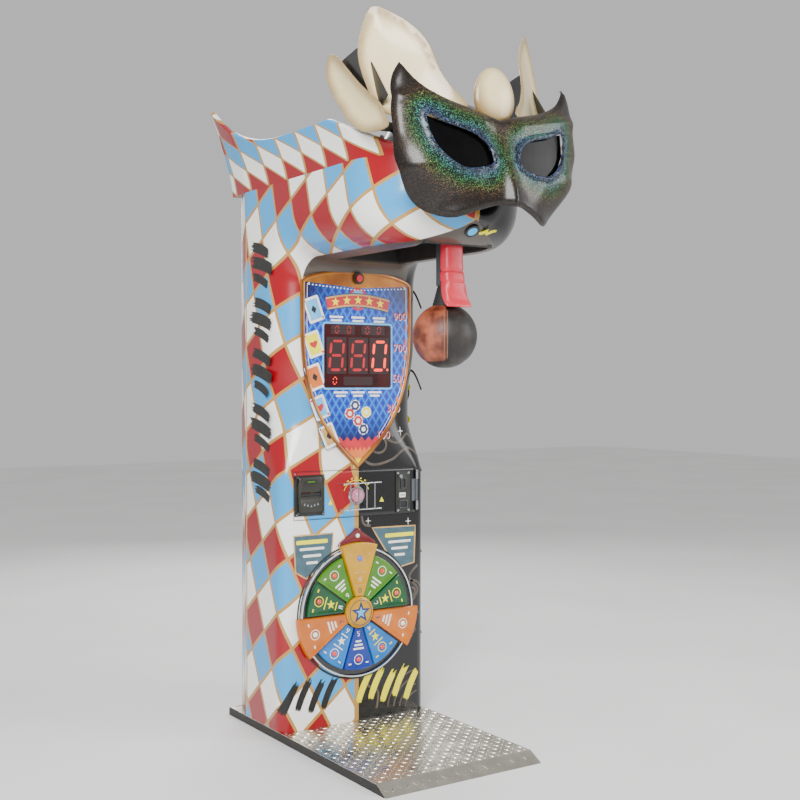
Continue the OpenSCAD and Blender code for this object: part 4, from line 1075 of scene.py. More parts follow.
@dataclass
class Head:
    """Carnival half mask, its petals and the dark filler plates behind them."""

    mask_y: float = -720.0
    mask_z: float = 1900.0
    mask_lean: float = 10.2
    petal_lean: float = 25.0
    petal_turn: float = 9.8
    # How far the outer edge of a side petal bends back
    petal_bend: float = 105.0
    rear_petal_x: float = 318.0
    mask_half: tuple[Point2, ...] = (
        (0, 105), (28, 112), (95, 130), (176, 153), (254, 194), (306, 258), (330, 215), (340, 150),
        (340, 70), (334, 5), (312, -70), (258, -138), (206, -178), (166, -191), (134, -186),
        (86, -172), (40, -162), (0, -172))
    eye: tuple[Point2, ...] = ((251, 92), (195, 71), (112, 47), (67, 18), (53, -18), (58, -42),
                               (120, -58), (165, -54), (210, -20), (240, 26))
    side_petal: tuple[Point2, ...] = (
        (-81, -12), (-116, 47), (-147, 112), (-165, 202), (-204, 263), (-258, 307), (-321, 336),
        (-358, 289), (-388, 217), (-400, 150), (-390, 66), (-374, 5), (-330, -40), (-200, -60))
    rear_petal: tuple[Point2, ...] = (
        (-254, 2234), (-302, 2222), (-430, 2117), (-543, 2037), (-576, 1989), (-585, 1960),
        (-470, 1965), (-380, 2010), (-330, 2060), (-290, 2100), (-242, 2172))
    filler: tuple[Point2, ...] = ((-296, 2214), (-420, 2240), (-560, 2060), (-500, 2010), (-380, 2040),
                                  (-320, 2110))

    def field(self, outline: list[Point2], holes: list[list[Point2]], step: float) -> tuple[list, list]:
        """Even triangles inside an outline and outside its holes.

        Args:
            outline: Outer loop.
            holes: Inner loops.
            step: Spacing of the inner points.

        Returns:
            The points and the triangles.
        """
        points, edges = [], []
        for loop in [outline, *holes]:
            first = len(points)
            points += loop
            edges += [(first + k, first + (k + 1) % len(loop)) for k in range(len(loop))]
        xs, ys = [p[0] for p in outline], [p[1] for p in outline]
        rows = int((max(ys) - min(ys)) / (step * 0.87)) + 1
        for j in range(rows + 1):
            for i in range(int((max(xs) - min(xs)) / step) + 2):
                p = (min(xs) + (i + 0.5 * (j % 2)) * step, min(ys) + j * step * 0.87)
                loops = [outline, *holes]
                if inside(p, outline) and not any(inside(p, h) for h in holes):
                    if min(distance(p, loop) for loop in loops) > step * 0.55:
                        points.append(p)
        flat, _, tris, _, _, _ = delaunay_2d_cdt([Vector(p) for p in points], edges, [], 0, 1e-6)
        kept = []
        for tri in tris:
            mid = sum((flat[i] for i in tri), Vector((0, 0))) / len(tri)
            if inside(mid, outline) and not any(inside(mid, h) for h in holes):
                kept.append(tuple(tri))
        return [tuple(p) for p in flat], kept

    def at_mask(self, x: float, y: float, z: float) -> Point3:
        """Point of the frame from one in the mask's own frame."""
        turned = Matrix.Rotation(math.radians(-self.mask_lean), 3, "X") @ Vector((x, y, z))
        return (turned.x, turned.y + self.mask_y, turned.z + self.mask_z)

    def at_petal(self, x: float, y: float, lift: float) -> Point3:
        """Point of the frame from one in the player's left petal's plane."""
        turned = (Matrix.Rotation(math.radians(-self.petal_turn), 3, "Z")
                  @ Matrix.Rotation(math.radians(90 - self.petal_lean), 3, "X")) @ Vector((x, y, lift))
        return (turned.x, turned.y - 642, turned.z + 2037)

    def relief(self, x: float, z: float, outline: list[Point2], eyes: list[list[Point2]]) -> float:
        """Depth of the mask's face at a point: less is nearer the player."""
        flat = 1 - 0.8 * smooth((z + 60) / 120)
        plan = 0.00042 * x * x + 0.0063 * flat * max(0.0, abs(x) - 240) ** 2
        plan += 85 * smooth((-40 - z) / 130) * (x / 230) ** 2
        fall = smooth((70 - z) / 220)
        nose = 22 * math.exp(-((x / 20) ** 2)) * fall + 10 * math.exp(-((x / 58) ** 2)) * fall
        to_eye = min(distance((x, z), e) for e in eyes)
        rim = 8 * math.exp(-(((to_eye - 7) / 6) ** 2))
        brow_line = 118 + 0.24 * abs(x) - 50
        brow = 9 * math.exp(-(((z - brow_line) / 20) ** 2)) * smooth((abs(x) - 20) / 60)
        cheek = 10 * math.exp(-(((z + 100) / 60) ** 2)) * smooth((abs(x) - 60) / 80)
        to_edge = distance((x, z), outline)
        curl = 15 * math.exp(-to_edge / 7)
        return plan - nose - rim - brow - cheek + curl

    def mask(self) -> bpy.types.Object:
        """Builds the mask's shell with its eye holes."""
        right = curve_through(self.mask_half[:6], 5) + curve_through(self.mask_half[5:], 5)[1:]
        outline = right + [(-x, z) for x, z in reversed(right[1:-1])]
        eye = curve_through(self.eye, 5, True)
        eyes = [eye, [(-x, z) for x, z in reversed(eye)]]
        points, tris = self.field(outline, eyes, 8.5)
        made = Mesh("mask_shell")
        made.add([self.at_mask(x, self.relief(x, z, outline, eyes), z) for x, z in points], tris)
        piece = made.make(CABINET, [WORKSHOP.get(Material.GLITTER)], "mask_gloss", ["mask"], 60)
        layer = piece.data.uv_layers.new(name="eye")
        for item in piece.data.loops:
            away = min(distance(points[item.vertex_index], e) for e in eyes)
            layer.data[item.index].uv = (away / 100, 0.0)
        self.thicken(piece, 8.0, (0, -1, 0))
        return piece

    def thicken(self, piece: bpy.types.Object, wall: float, face: Point3) -> None:
        """Turns the sheet's faces to a direction, then gives it a wall behind them."""
        up = Vector(face)
        if sum(p.normal.dot(up) * p.area for p in piece.data.polygons) < 0:
            piece.data.flip_normals()
        solid = piece.modifiers.new("wall", "SOLIDIFY")
        solid.thickness = wall * MM
        solid.offset = -1.0
        soft = piece.modifiers.new("soft edge", "BEVEL")
        soft.width = 1.6 * MM
        soft.segments = 2
        soft.limit_method = "ANGLE"
        soft.angle_limit = math.radians(50)

    def petal(self, name: str, outline: Sequence[Point2], place: Callable[[float, float, float], Point3],
              cup: float, body_slot: str, replaces: list[str], face: Point3) -> bpy.types.Object:
        """One leaf shell, dished from its rim to its middle.

        Args:
            name: Name of the piece.
            outline: Outline in the leaf's plane.
            place: Turns (across, up, lift) to a point of the frame.
            cup: Depth of the dish.
            body_slot: Slot of the record.
            replaces: CAD nodes that the piece stands for.
            face: Direction of the side that shows.

        Returns:
            The petal.
        """
        loop = curve_through(outline, 4, True)
        points, tris = self.field(loop, [], 15.0)
        rim = [distance(p, loop) for p in points]
        made = Mesh(name)
        made.add([place(p[0], p[1], cup * (1 - math.exp(-d / 42)) - cup * 0.4) for p, d in zip(points, rim)], tris)
        piece = made.make(CABINET, [WORKSHOP.get(Material.PETAL)], body_slot, replaces, 70)
        layer = piece.data.uv_layers.new(name="rim")
        for item in piece.data.loops:
            layer.data[item.index].uv = (0.2 + 0.8 * smooth(rim[item.vertex_index] / 38), 0.0)
        self.thicken(piece, 7.0, face)
        return piece

    def egg(self) -> bpy.types.Object:
        """The small egg-shaped centre petal above the brow."""
        made = Mesh("centre_petal_shell")
        rings = []
        for j in range(1, 24):
            lat = math.radians(-90 + 180 * j / 24)
            z, w = 2076 + 84 * math.sin(lat), math.cos(lat) * (1 - 0.12 * math.sin(lat))
            ring = []
            for k in range(36):
                a = math.radians(10 * k)
                lean = -0.32 * (z - 2076) * 0.4
                ring.append((74 * w * math.cos(a), -664 + 24 * w * math.sin(a) - lean * 0.2, z))
            rings.append(ring)
        made.rings(rings)
        piece = made.make(CABINET, [WORKSHOP.get(Material.PETAL)], "petal", ["centre_petal"], 60)
        # Painted shade: tan round the egg's outline, darkest at its bottom, where the round surface turns from the
        # light.
        layer = piece.data.uv_layers.new(name="rim")
        for item in piece.data.loops:
            x, _, z = piece.data.vertices[item.vertex_index].co / MM
            layer.data[item.index].uv = (smooth(1.5 - math.hypot(x / 74, (z - 2090) / 84) * 1.25), 0.0)
        return piece

    def build(self) -> None:
        """Builds the mask and every petal."""
        self.mask()
        for name, sign in (("left", 1.0), ("right", -1.0)):
            def side(u: float, v: float, lift: float, s: float = sign) -> Point3:
                """Point of a side petal, mirrored for the player's right."""
                x, y, z = self.at_petal(u, v, -lift)
                ahead = 20 + 46 * max(0.0, v) / 339
                back = self.petal_bend * max(0.0, (abs(u) - 100) / 300) ** 1.5 - ahead
                return (s * (x + 0.66 * back), y + back, z)

            def rear(u: float, v: float, lift: float, s: float = sign) -> Point3:
                """Point of a rear petal, mirrored for the player's right."""
                return (-s * (self.rear_petal_x + 6 - lift), u, v)

            node = ["side_petals"] if sign > 0 else []
            self.petal(f"side_petal_{name}", self.side_petal, side, 26, "petal", node, (0, -1, 0.3))
            node = ["rear_petals"] if sign > 0 else []
            self.petal(f"rear_petal_{name}", self.rear_petal, rear, 16, "petal", node, (-sign, -0.2, 0))
        self.egg()
        for name, sign in (("left", -1.0), ("right", 1.0)):
            made = Mesh(f"petal_filler_{name}")
            made.plate(self.filler, lambda u, v, lift, s=sign: (s * (308 - lift), u, v), 3.0, -3.0)
            made.make(CABINET, [OTHER["core"].build()], "core_black", sharp=40, bevel=1.5)


# ---- strike unit ------------------------------------------------------------

@dataclass
class StrikeUnit:
    """Ball, neck and padded cover that hang from the lever."""

    ball_r: float = 102.5
    ball_z: float = 1373.0
    pivot_y: float = -414.0
    # Heading of the vertical seam between the two hides, in degrees from +Y
    seam_turn: float = 33.5
    cap_turn: float = -52.0

    def ball(self) -> bpy.types.Object:
        """Leather ball: two hides and a round base patch, with welted seams."""
        made = Mesh("leather_ball")
        across, down = 96, 64
        seam = math.radians(self.seam_turn)
        right = Vector((math.cos(seam), -math.sin(seam), 0))
        ahead = Vector((-math.sin(seam), -math.cos(seam), 0))
        rings, sides = [], []
        for j in range(1, down):
            lat = math.radians(90 - 180 * j / down)
            ring = []
            for k in range(across):
                turn = 2 * math.pi * (k + 0.5) / across
                n = ahead * math.cos(turn) * math.cos(lat) + right * math.sin(turn) * math.cos(lat)
                n = n + Vector((0, 0, math.sin(lat)))
                off = abs(math.asin(max(-1.0, min(1.0, n.dot(right)))))
                cap = abs(lat - math.radians(self.cap_turn))
                groove = 1.8 * math.exp(-((off / 0.018) ** 2)) if lat > math.radians(self.cap_turn) else 0.0
                groove += 1.8 * math.exp(-((cap / 0.018) ** 2))
                plump = 0.8 * (smooth(off / 0.2) + smooth(cap / 0.2)) - 1.6
                r = self.ball_r - 0.4 - groove + plump
                ring.append((n.x * r, self.pivot_y + n.y * r, self.ball_z + n.z * r))
                low = lat < math.radians(self.cap_turn)
                sides.append(1.0 if n.dot(right) > 0 or low else -1.0)
            rings.append(ring)
        made.rings(rings)
        piece = made.make(SWING, [WORKSHOP.get(Material.LEATHER)], "ball_leather", ["striking_ball"], 80)
        layer = piece.data.uv_layers.new(name="panel")
        for face in piece.data.polygons:
            mid = sum(sides[i] for i in face.vertices) / len(face.vertices)
            for i in face.loop_indices:
                layer.data[i].uv = (mid, 0.0)
        return piece

    def stitches(self) -> None:
        """Thread stitches along the welted seam, one each side."""
        made = Mesh("ball_stitching")
        seam = math.radians(self.seam_turn)
        right = Vector((math.cos(seam), -math.sin(seam), 0))
        ahead = Vector((-math.sin(seam), -math.cos(seam), 0))
        for facing in (1, -1):
            for side in (-1, 1):
                for k in range(26):
                    lat = math.radians(-44 + 3.6 * k)
                    if lat > math.radians(50):
                        continue
                    n = ahead * facing * math.cos(lat) + Vector((0, 0, math.sin(lat))) + right * side * 0.05
                    along = -ahead * facing * math.sin(lat) + Vector((0, 0, math.cos(lat)))
                    mid = Vector((0, self.pivot_y, self.ball_z)) + n.normalized() * (self.ball_r - 1.1)
                    loop = []
                    for a in range(6):
                        t = math.radians(60 * a)
                        loop.append(n.normalized() * 0.7 * math.sin(t) + right * 0.8 * math.cos(t))
                    made.rings([[tuple(mid + p + along * d) for p in loop] for d in (-1.7, 1.7)])
        thread = Finish("thread_waxed_tan", "#c9a27c", "#b38c66", 0.6, grain_mm=0.8, relief_mm=0.05)
        made.make(SWING, [thread.build()], "ball_leather")

    def neck(self) -> bpy.types.Object:
        """Ribbed rubber cone between the lever and the ball."""
        made = Mesh("rubber_neck")
        z0, height = self.ball_z + 83, 74
        rings = []
        for k in range(33):
            t = k / 32
            r = mix(45.5, 24, t ** 0.85) + (0.9 * math.cos(t * 8 * 2 * math.pi) - 1.0)
            circle = [math.radians(7.5 * i) for i in range(48)]
            rings.append([(r * math.cos(a), self.pivot_y + r * math.sin(a), z0 + t * height) for a in circle])
        made.rings(rings)
        return made.make(SWING, [OTHER["rubber"].build()], "rubber", ["ball_neck"], 60)

    def cover(self) -> bpy.types.Object:
        """Padded cover in front of the lever: a slim top pad, a seam, and a flared skirt over the ball.

        Returns:
            The cover.
        """
        made = Mesh("lever_pad")
        front = self.pivot_y - 11
        # Height above the ball's centre, middle line's distance in front, half width, half depth
        stations = [(300, 24, 32, 20), (291, 24, 35, 23), (272, 25, 36.5, 24), (240, 25, 37, 24.5),
                    (212, 26, 37.5, 25), (203, 26, 37, 23.5), (199, 27, 36, 22), (195, 27, 38.5, 25),
                    (186, 28, 40, 26), (172, 30, 40, 26), (166, 31, 39, 24.5), (162, 32, 39.5, 25),
                    (150, 34, 42, 25), (130, 40, 44, 22), (112, 48, 46.5, 18), (100, 56, 48, 15),
                    (92, 61, 47.5, 13), (87, 64, 45, 10)]
        dense = curve_through(stations, 3)
        rings = []
        for n, (up, out, half, deep) in enumerate(dense):
            ring = []
            for k in range(56):
                a = 2 * math.pi * k / 56
                x = math.copysign(abs(math.cos(a)) ** 0.55, math.cos(a))
                y = math.copysign(abs(math.sin(a)) ** 0.75, math.sin(a))
                fold = 0.9 * math.sin(5 * a + up * 0.11) * smooth((190 - up) / 60)
                fold += 0.5 * math.sin(3 * a + up * 0.5) * math.exp(-(((up - 165) / 16) ** 2))
                fold += 0.5 * math.sin(4 * a - up * 0.4) * math.exp(-(((up - 203) / 14) ** 2))
                ring.append((x * (half + fold - 0.5), front - out + y * (deep + fold - 1.5), self.ball_z + up))
            rings.append(ring)
        made.rings(rings)
        piece = made.make(SWING, [WORKSHOP.get(Material.VINYL)], "cover_vinyl", ["lever_cover"], 75)
        return piece

    def build(self) -> None:
        """Builds the moving unit's soft pieces."""
        self.ball()
        self.stitches()
        self.neck()
        self.cover()


# ---- prints -----------------------------------------------------------------

PRINT = 0.5       # thickness of a print above its surface, in mm


class Prints:
    """Thin printed shapes that lie on a surface, gathered into one object for each body."""

    def __init__(self, name: str, body: str, cad_slot: str, sharp: float = 30.0) -> None:
        """Starts an empty set of prints.

        Args:
            name: Name of the piece.
            body: Body that carries the prints.
            cad_slot: Slot of the record, handed on to Mesh.make.
            sharp: Angle in degrees above which an edge stays sharp.
        """
        self.mesh = Mesh(name)
        self.body, self.cad_slot, self.sharp = body, cad_slot, sharp
        self.inks: list[bpy.types.Material] = []

    def slot(self, finish: Finish) -> int:
        """Material slot of a finish, added when it is new."""
        ink = finish.build()
        if ink not in self.inks:
            self.inks.append(ink)
        return self.inks.index(ink)

    def shape(self, outline: Sequence[Point2], place: Callable[[float, float, float], Point3], finish: Finish,
              lift: float = PRINT, sink: float = 0.6) -> None:
        """Adds one filled shape.

        Args:
            outline: Outline in the surface's own plane.
            place: Turns (across, up, lift) to a point of the frame.
            finish: Ink or plastic of the shape.
            lift: Height of its face above the surface.
            sink: How far its back lies below the surface.
        """
        self.mesh.plate(outline, place, lift, -sink, self.slot(finish))

    def band(self, path: Sequence[Point2], width: float, place: Callable[[float, float, float], Point3],
             finish: Finish, lift: float = PRINT, closed: bool = False, taper: bool = False) -> None:
        """Adds a stroke of even or tapering width along a path.

        Args:
            path: Points of the middle line.
            width: Full width.
            place: Turns (across, up, lift) to a point of the frame.
            finish: Ink of the stroke.
            lift: Height of its face above the surface.
            closed: True if the path returns to its start.
            taper: True to run the ends out to a point.
        """
        n = len(path)
        rings = []
        for k, (u, v) in enumerate(path):
            a = path[(k - 1) % n] if closed or k else path[0]
            b = path[(k + 1) % n] if closed or k < n - 1 else path[-1]
            du, dv = b[0] - a[0], b[1] - a[1]
            size = math.hypot(du, dv) or 1.0
            half = width / 2 * (math.sin(math.pi * (k + 0.3) / (n - 0.4)) ** 0.4 if taper else 1.0)
            nu, nv = -dv / size * half, du / size * half
            rings.append([place(u + nu, v + nv, lift), place(u - nu, v - nv, lift),
                          place(u - nu, v - nv, -0.6), place(u + nu, v + nv, -0.6)])
        if closed:
            rings.append(rings[0])
        self.mesh.rings(rings, caps=not closed, slot=self.slot(finish))

    def digits(self, text: str, centre: Point2, size: float, place: Callable[[float, float, float], Point3],
               finish: Finish, turn: float = 0.0, lift: float = PRINT) -> None:
        """Adds a numeral.

        Args:
            text: Digits.
            centre: Centre in the surface's plane.
            size: Height of the numeral.
            place: Turns (across, up, lift) to a point of the frame.
            finish: Ink of the numeral.
            turn: Turn in degrees.
            lift: Height of its face above the surface.
        """
        points, faces = numeral(text)
        c, s = math.cos(math.radians(turn)) * size, math.sin(math.radians(turn)) * size
        self.mesh.add([place(centre[0] + x * c - y * s, centre[1] + x * s + y * c, lift) for x, y in points],
                      faces, self.slot(finish))

    def star(self, centre: Point2, r: float, place: Callable[[float, float, float], Point3], finish: Finish,
             points: int = 5, waist: float = 0.42, turn: float = 90.0, lift: float = PRINT) -> None:
        """Adds a star with sharp points."""
        outline = []
        for k in range(points * 2):
            a = math.radians(turn + 180 * k / points)
            d = r if k % 2 == 0 else r * waist
            outline.append((centre[0] + d * math.cos(a), centre[1] + d * math.sin(a)))
        self.shape(outline, place, finish, lift)

    def brush(self, ends: tuple[Point2, Point2], width: float, place: Callable[[float, float, float], Point3],
              finish: Finish, seed: float, bend: float = 0.0, lift: float = PRINT) -> None:
        """Adds a dry brush stroke: a body of ink that breaks into bristle lines at its end.

        Args:
            ends: Start and end of the stroke.
            width: Width of the brush.
            place: Turns (across, up, lift) to a point of the frame.
            finish: Ink of the stroke.
            seed: Seed of the bristle lengths.
            bend: Sideways bow of the stroke.
            lift: Height of its face above the surface.
        """
        (u0, v0), (u1, v1) = ends
        length = math.hypot(u1 - u0, v1 - v0)
        du, dv = (u1 - u0) / length, (v1 - v0) / length
        bristles = 7
        for k in range(bristles):
            off = (k - (bristles - 1) / 2) / bristles * width
            start = 0.05 * noise(seed + k) + 0.05 * abs(off / width)
            end = 1 - 0.14 * noise(seed * 3.1 + k * 7.7)
            path = []
            for j in range(9):
                t = mix(start, end, j / 8)
                bow = bend * math.sin(math.pi * t)
                path.append((u0 + du * length * t - dv * (off + bow), v0 + dv * length * t + du * (off + bow)))
            self.band(path, width / bristles * (1.35 + 0.3 * noise(seed + 5 * k)), place, finish,
                      lift + 0.04 * (k % 3), taper=True)

    def make(self) -> bpy.types.Object:
        """Turns the prints into one object."""
        return self.mesh.make(self.body, self.inks, self.cad_slot, sharp=self.sharp)


@dataclass
class FrontPrints:
    """Panels, brush strokes, scrolls and stars on the moulding's film."""

    form: Moulding = field(default_factory=Moulding)
    side_x: float = -298.0
    strokes: tuple[tuple[float, float], ...] = ((1715, 1544), (1520, 1356), (1342, 1166), (1147, 977), (951, 804))

    def on_front(self, u: float, v: float, lift: float) -> Point3:
        """Point on the column's front or corner."""
        return self.form.front_point(u, v, lift)

    def on_left(self, u: float, v: float, lift: float) -> Point3:
        """Point on the side wall at the player's left, with u along Y."""
        return (self.side_x - lift, u, v)

    def on_right(self, u: float, v: float, lift: float) -> Point3:
        """Point on the side wall at the player's right, with u along Y."""
        return (-self.side_x + lift, u, v)

    def panels(self, prints: Prints) -> None:
        """Slate panels with gold borders and plain bars below the coin door."""
        outlines = (((-251, 700), (-95, 701), (-103, 607), (-203, 550), (-244, 575)),
                    ((66, 708), (251, 705), (246, 571), (168, 556)))
        for outline in outlines:
            prints.shape(outline, self.on_front, INK["teal"], 0.4)
            dense = [(mix(a[0], b[0], t / 6), mix(a[1], b[1], t / 6))
                     for a, b in zip(outline, outline[1:] + outline[:1]) for t in range(6)]
            prints.band(dense, 5, self.on_front, INK["gold"], 0.7, closed=True)
            mid = sum(p[0] for p in outline) / len(outline)
            for row in range(4):
                half = 62 - 13 * row
                prints.shape(rounded_box(mid, 676 - 24 * row, 2 * half, 9 if row else 14, 4), self.on_front,
                             INK["white" if row else "yellow"], 0.7)

    def sweeps(self, prints: Prints) -> None:
        """Parallel dry-brush slashes, all leaning one way so that no two meet as a letter would."""
        for n, (top, foot) in enumerate(self.strokes):
            tall = top - foot
            for k, (share, half, w) in enumerate(((0.72, 70, 34), (0.40, 84, 40), (0.10, 60, 28))):
                shift = 16 * (noise(n * 7.3 + k) - 0.5)
                z = foot + share * tall
                prints.brush(((274 - half + shift, z), (274 + half + shift, z + 0.24 * tall)), w,
                             self.on_left, INK["black"], n * 11.0 + k, bend=6)
            for k, share in enumerate((0.62, 0.22)):
                z = foot + share * tall
                prints.brush(((220, z), (330, z + 0.2 * tall)), 20, self.on_right, INK["yellow"],
                             n * 6.0 + 40 + k, bend=5)
        for ink, start, end, count in (("black", -262, -110, 4), ("yellow", 34, 236, 5)):
            for k in range(count):
                x = mix(start, end, k / (count - 1))
                low = 72 + 22 * noise(k * 3.1 + start)
                prints.brush(((x - 28, low), (x + 28, low + 112)), 24, self.on_front, INK[ink],
                             8.4 + 1.7 * k, bend=5)

    def scrolls(self, prints: Prints) -> None:
        """Bronze scroll ribbons over the black half."""
        spirals = (((100, 1010), 60, 1.3, 20), ((205, 838), 46, 1.1, 200), ((214, 640), 34, 1.2, 90),
                   ((60, 520), 40, 1.0, 140), ((236, 470), 40, 1.2, 10), ((60, 310), 46, 1.2, 250),
                   ((238, 330), 30, 1.1, 60))
        for (cx, cz), r, turns, start in spirals:
            if abs(cz - 836) < 95:
                continue
            path = []
            for k in range(46):
                t = k / 45
                a = math.radians(start + 360 * turns * t)
                path.append((cx + r * (1 - 0.8 * t) * math.cos(a), cz + r * (1 - 0.8 * t) * math.sin(a)))
            path = [p for p in path if 16 < p[0] < 284]
            if len(path) > 6:
                prints.band(path, 8, self.on_front, INK["bronze"], 0.35)
        waves = (((24, 1120), (80, 1096), (110, 1040), (170, 1010), (226, 1040), (262, 1010)),
                 ((20, 960), (70, 934), (150, 950), (216, 990), (276, 960)),
                 ((20, 770), (30, 726), (60, 716)),
                 ((262, 560), (226, 520), (262, 470), (236, 420), (272, 380)),
                 ((24, 250), (60, 210), (46, 150), (90, 120), (84, 60)))
        for points in waves:
            prints.band(curve_through(points, 8), 9, self.on_front, INK["bronze"], 0.35)
        for k in range(4):
            prints.band(arc(268, 40, 60 + 26 * k, 100, 172, 20), 6, self.on_front, INK["bronze"], 0.35)
        for k in range(5):
            z = 300 + 300 * k
            points = ((150, z), (210, z + 70), (300, z + 60), (330, z - 20), (270, z - 60), (232, z - 10),
                      (262, z + 22))
            prints.band(curve_through(points, 8), 9, self.on_right, INK["bronze"], 0.35)

    def gold_frame(self, prints: Prints) -> None:
        """Gold line along the side's seam, on each side."""
        for side in (self.on_left, self.on_right):
            prints.band([(self.form.shoulder_y - 6, 60 + 184 * k / 4) for k in range(38)], 7, side, INK["gold"])

    def build(self) -> None:
        """Builds every print on the moulding."""
        prints = Prints("moulding_prints", CABINET, "harlequin")
        self.panels(prints)
        self.sweeps(prints)
        self.scrolls(prints)
        self.gold_frame(prints)
        for centre, r in (((190, 1051), 17), ((49, 734), 13), ((220, 723), 14), ((225, 302), 15)):
            prints.star(centre, r, self.on_front, INK["white"], 4, 0.16, 90, 0.9)
        start = StartButton()
        prints.brush(((32, -10), (60, 8)), 13, start.place, INK["yellow"], 21.0, bend=-3, lift=1.2)
        prints.brush(((58, -12), (92, 10)), 11, start.place, INK["yellow"], 23.0, bend=3, lift=1.2)
        prints.make()


# ---- score shield -----------------------------------------------------------

@dataclass
class ScoreShield:
    """Score panel: gold frame, printed acrylic, number window, cards and scale."""

    half_w: float = 226.0
    tip: float = 925.0
    shoulder: float = 1500.0
    corner: float = 1569.0
    crest: float = 53.0
    rim: float = 13.0
    rim_y: float = 108.0
    panel_y: float = 111.0
    wall_y: float = 122.0
    window: tuple[float, float, float] = (136.0, 1210.0, 1429.0)

    def outline(self, inset: float = 0.0) -> list[Point2]:
        """Outline of the shield, anticlockwise from the tip."""
        right = []
        steps = 30
        for k in range(steps + 1):
            u = 1 - k / steps
            right.append((self.half_w * (1 - u ** 3.2), mix(self.shoulder, self.tip, u)))
        right.append((self.half_w, (self.shoulder + self.corner) / 2))
        top = [(self.half_w * math.cos(math.pi * k / 24), self.corner + self.crest * math.sin(math.pi * k / 24))
               for k in range(25)]
        loop = right + top + [(-x, z) for x, z in reversed(right[1:])]
        if not inset:
            return loop
        mid = 1300.0
        moved = []
        n = len(loop)
        for k, (x, z) in enumerate(loop):
            a, b = loop[(k - 1) % n], loop[(k + 1) % n]
            du, dv = b[0] - a[0], b[1] - a[1]
            size = math.hypot(du, dv) or 1.0
            limit = inset / max(0.45, 1 - abs(z - mid) / 2000)
            moved.append((x - dv / size * limit, z + du / size * limit))
        return moved

    def frame(self) -> None:
        """Rounded gold rim, with a painted brown shadow line round its outer edge and a white line inside it."""
        made = Mesh("shield_rim")
        outer, inner = self.outline(), self.outline(self.rim)
        n = len(outer)
        profile = ((0.0, 0.0), (0.0, 9.0), (0.1, 12.5), (0.3, 14.0), (0.7, 14.0), (0.92, 12.5), (1.0, 10.5), (1.0, 0.0))
        rings = []
        for k in range(n):
            (x0, z0), (x1, z1) = outer[k], inner[k]
            rings.append([(mix(x0, x1, t), self.wall_y - d, mix(z0, z1, t)) for t, d in profile])
        made.rings(rings + [rings[0]], caps=False)
        made.make(CABINET, [METAL["gold"].build()], "gold_trim", ["shield_frame"], 40)
        rim_lines = Prints("shield_rim_shadow_and_line", CABINET, "gold_trim")
        # Painted shadow: a thin brown line round the rim's outer edge.
        rim_lines.band(self.outline(1.6), 2.6, front_at(self.rim_y), Finish(
            "rim_brown_shadow_paint", "#5b2c16", "#432010", 0.4, mottle_mm=40), 0.1, closed=True)
        rim_lines.band(self.outline(self.rim + 7), 1.6, front_at(self.panel_y), INK["white"], 0.5, closed=True)
        rim_lines.make()

    def panel(self) -> None:
        """Printed acrylic back, a flat plate."""
        made = Mesh("shield_back")
        made.plate(self.outline(self.rim - 1.5), front_at(self.panel_y), 0.0, -9.0)
        made.make(CABINET, [WORKSHOP.get(Material.SHIELD)], "shield_print", ["shield_panel"], 30, 0.8)

    def display(self, art: Prints, place: Callable[[float, float, float], Point3]) -> None:
        """Dark window with three large digits and the small counters."""
        w, low, high = self.window
        mid, tall = (low + high) / 2, high - low
        sky = INK["sky"]
        art.shape(rounded_box(0, mid, 2 * w + 16, tall + 16, 12), place, sky, 1.0)
        art.shape(rounded_box(0, mid, 2 * w + 4, tall + 4, 8), place, INK["navy"], 1.3)
        art.shape(rounded_box(0, mid, 2 * w, tall, 7), place, OTHER["acrylic"], 1.7)
        box = Finish("display_mask_deep_red", "#2a0206", "#1e0104", 0.5, mottle_mm=30)
        for x in (-88, 0, 88):
            art.shape(rounded_box(x, 1321, 80, 128, 3), place, box, 2.0)
        for x, word in ((-88, "8"), (0, "8"), (88, "0")):
            lit = OTHER["led_on"] if word == "0" else OTHER["led_dim"]
            self.segments(art, place, (x, 1321), 50, 100, 9.5, word, lit)
            art.shape(arc(x + 34, 1272, 4.5, 0, 330, 11), place, lit, 2.4)
        for x, text in ((-62, "00"), (62, "00")):
            art.shape(rounded_box(x, 1411, 96, 32, 3), place, box, 2.0)
            for k in (-1, 1):
                self.segments(art, place, (x + 24 * k, 1411), 13, 24, 3.0, text[0], OTHER["led_dim"])
        art.shape(rounded_box(0, 1232, 120, 30, 3), place, box, 2.0)
        self.segments(art, place, (-95, 1233), 13, 24, 3.0, "0", OTHER["led_on"])

    def segments(self, art: Prints, place: Callable[[float, float, float], Point3], centre: Point2, w: float,
                 h: float, bar: float, digit: str, finish: Finish) -> None:
        """Adds a seven-segment digit that leans a little.

        Args:
            art: Prints to add to.
            place: Placement on the panel.
            centre: Centre of the digit.
            w: Width between the upright bars.
            h: Height between the level bars.
            bar: Width of a bar.
            digit: The digit, "0" or "8".
            finish: Finish of the lit bars.
        """
        def leaned(u: float, v: float, lift: float) -> Point3:
            """Point of the digit, leaned to the right as it rises."""
            return place(centre[0] + u + 0.09 * v, centre[1] + v, lift)

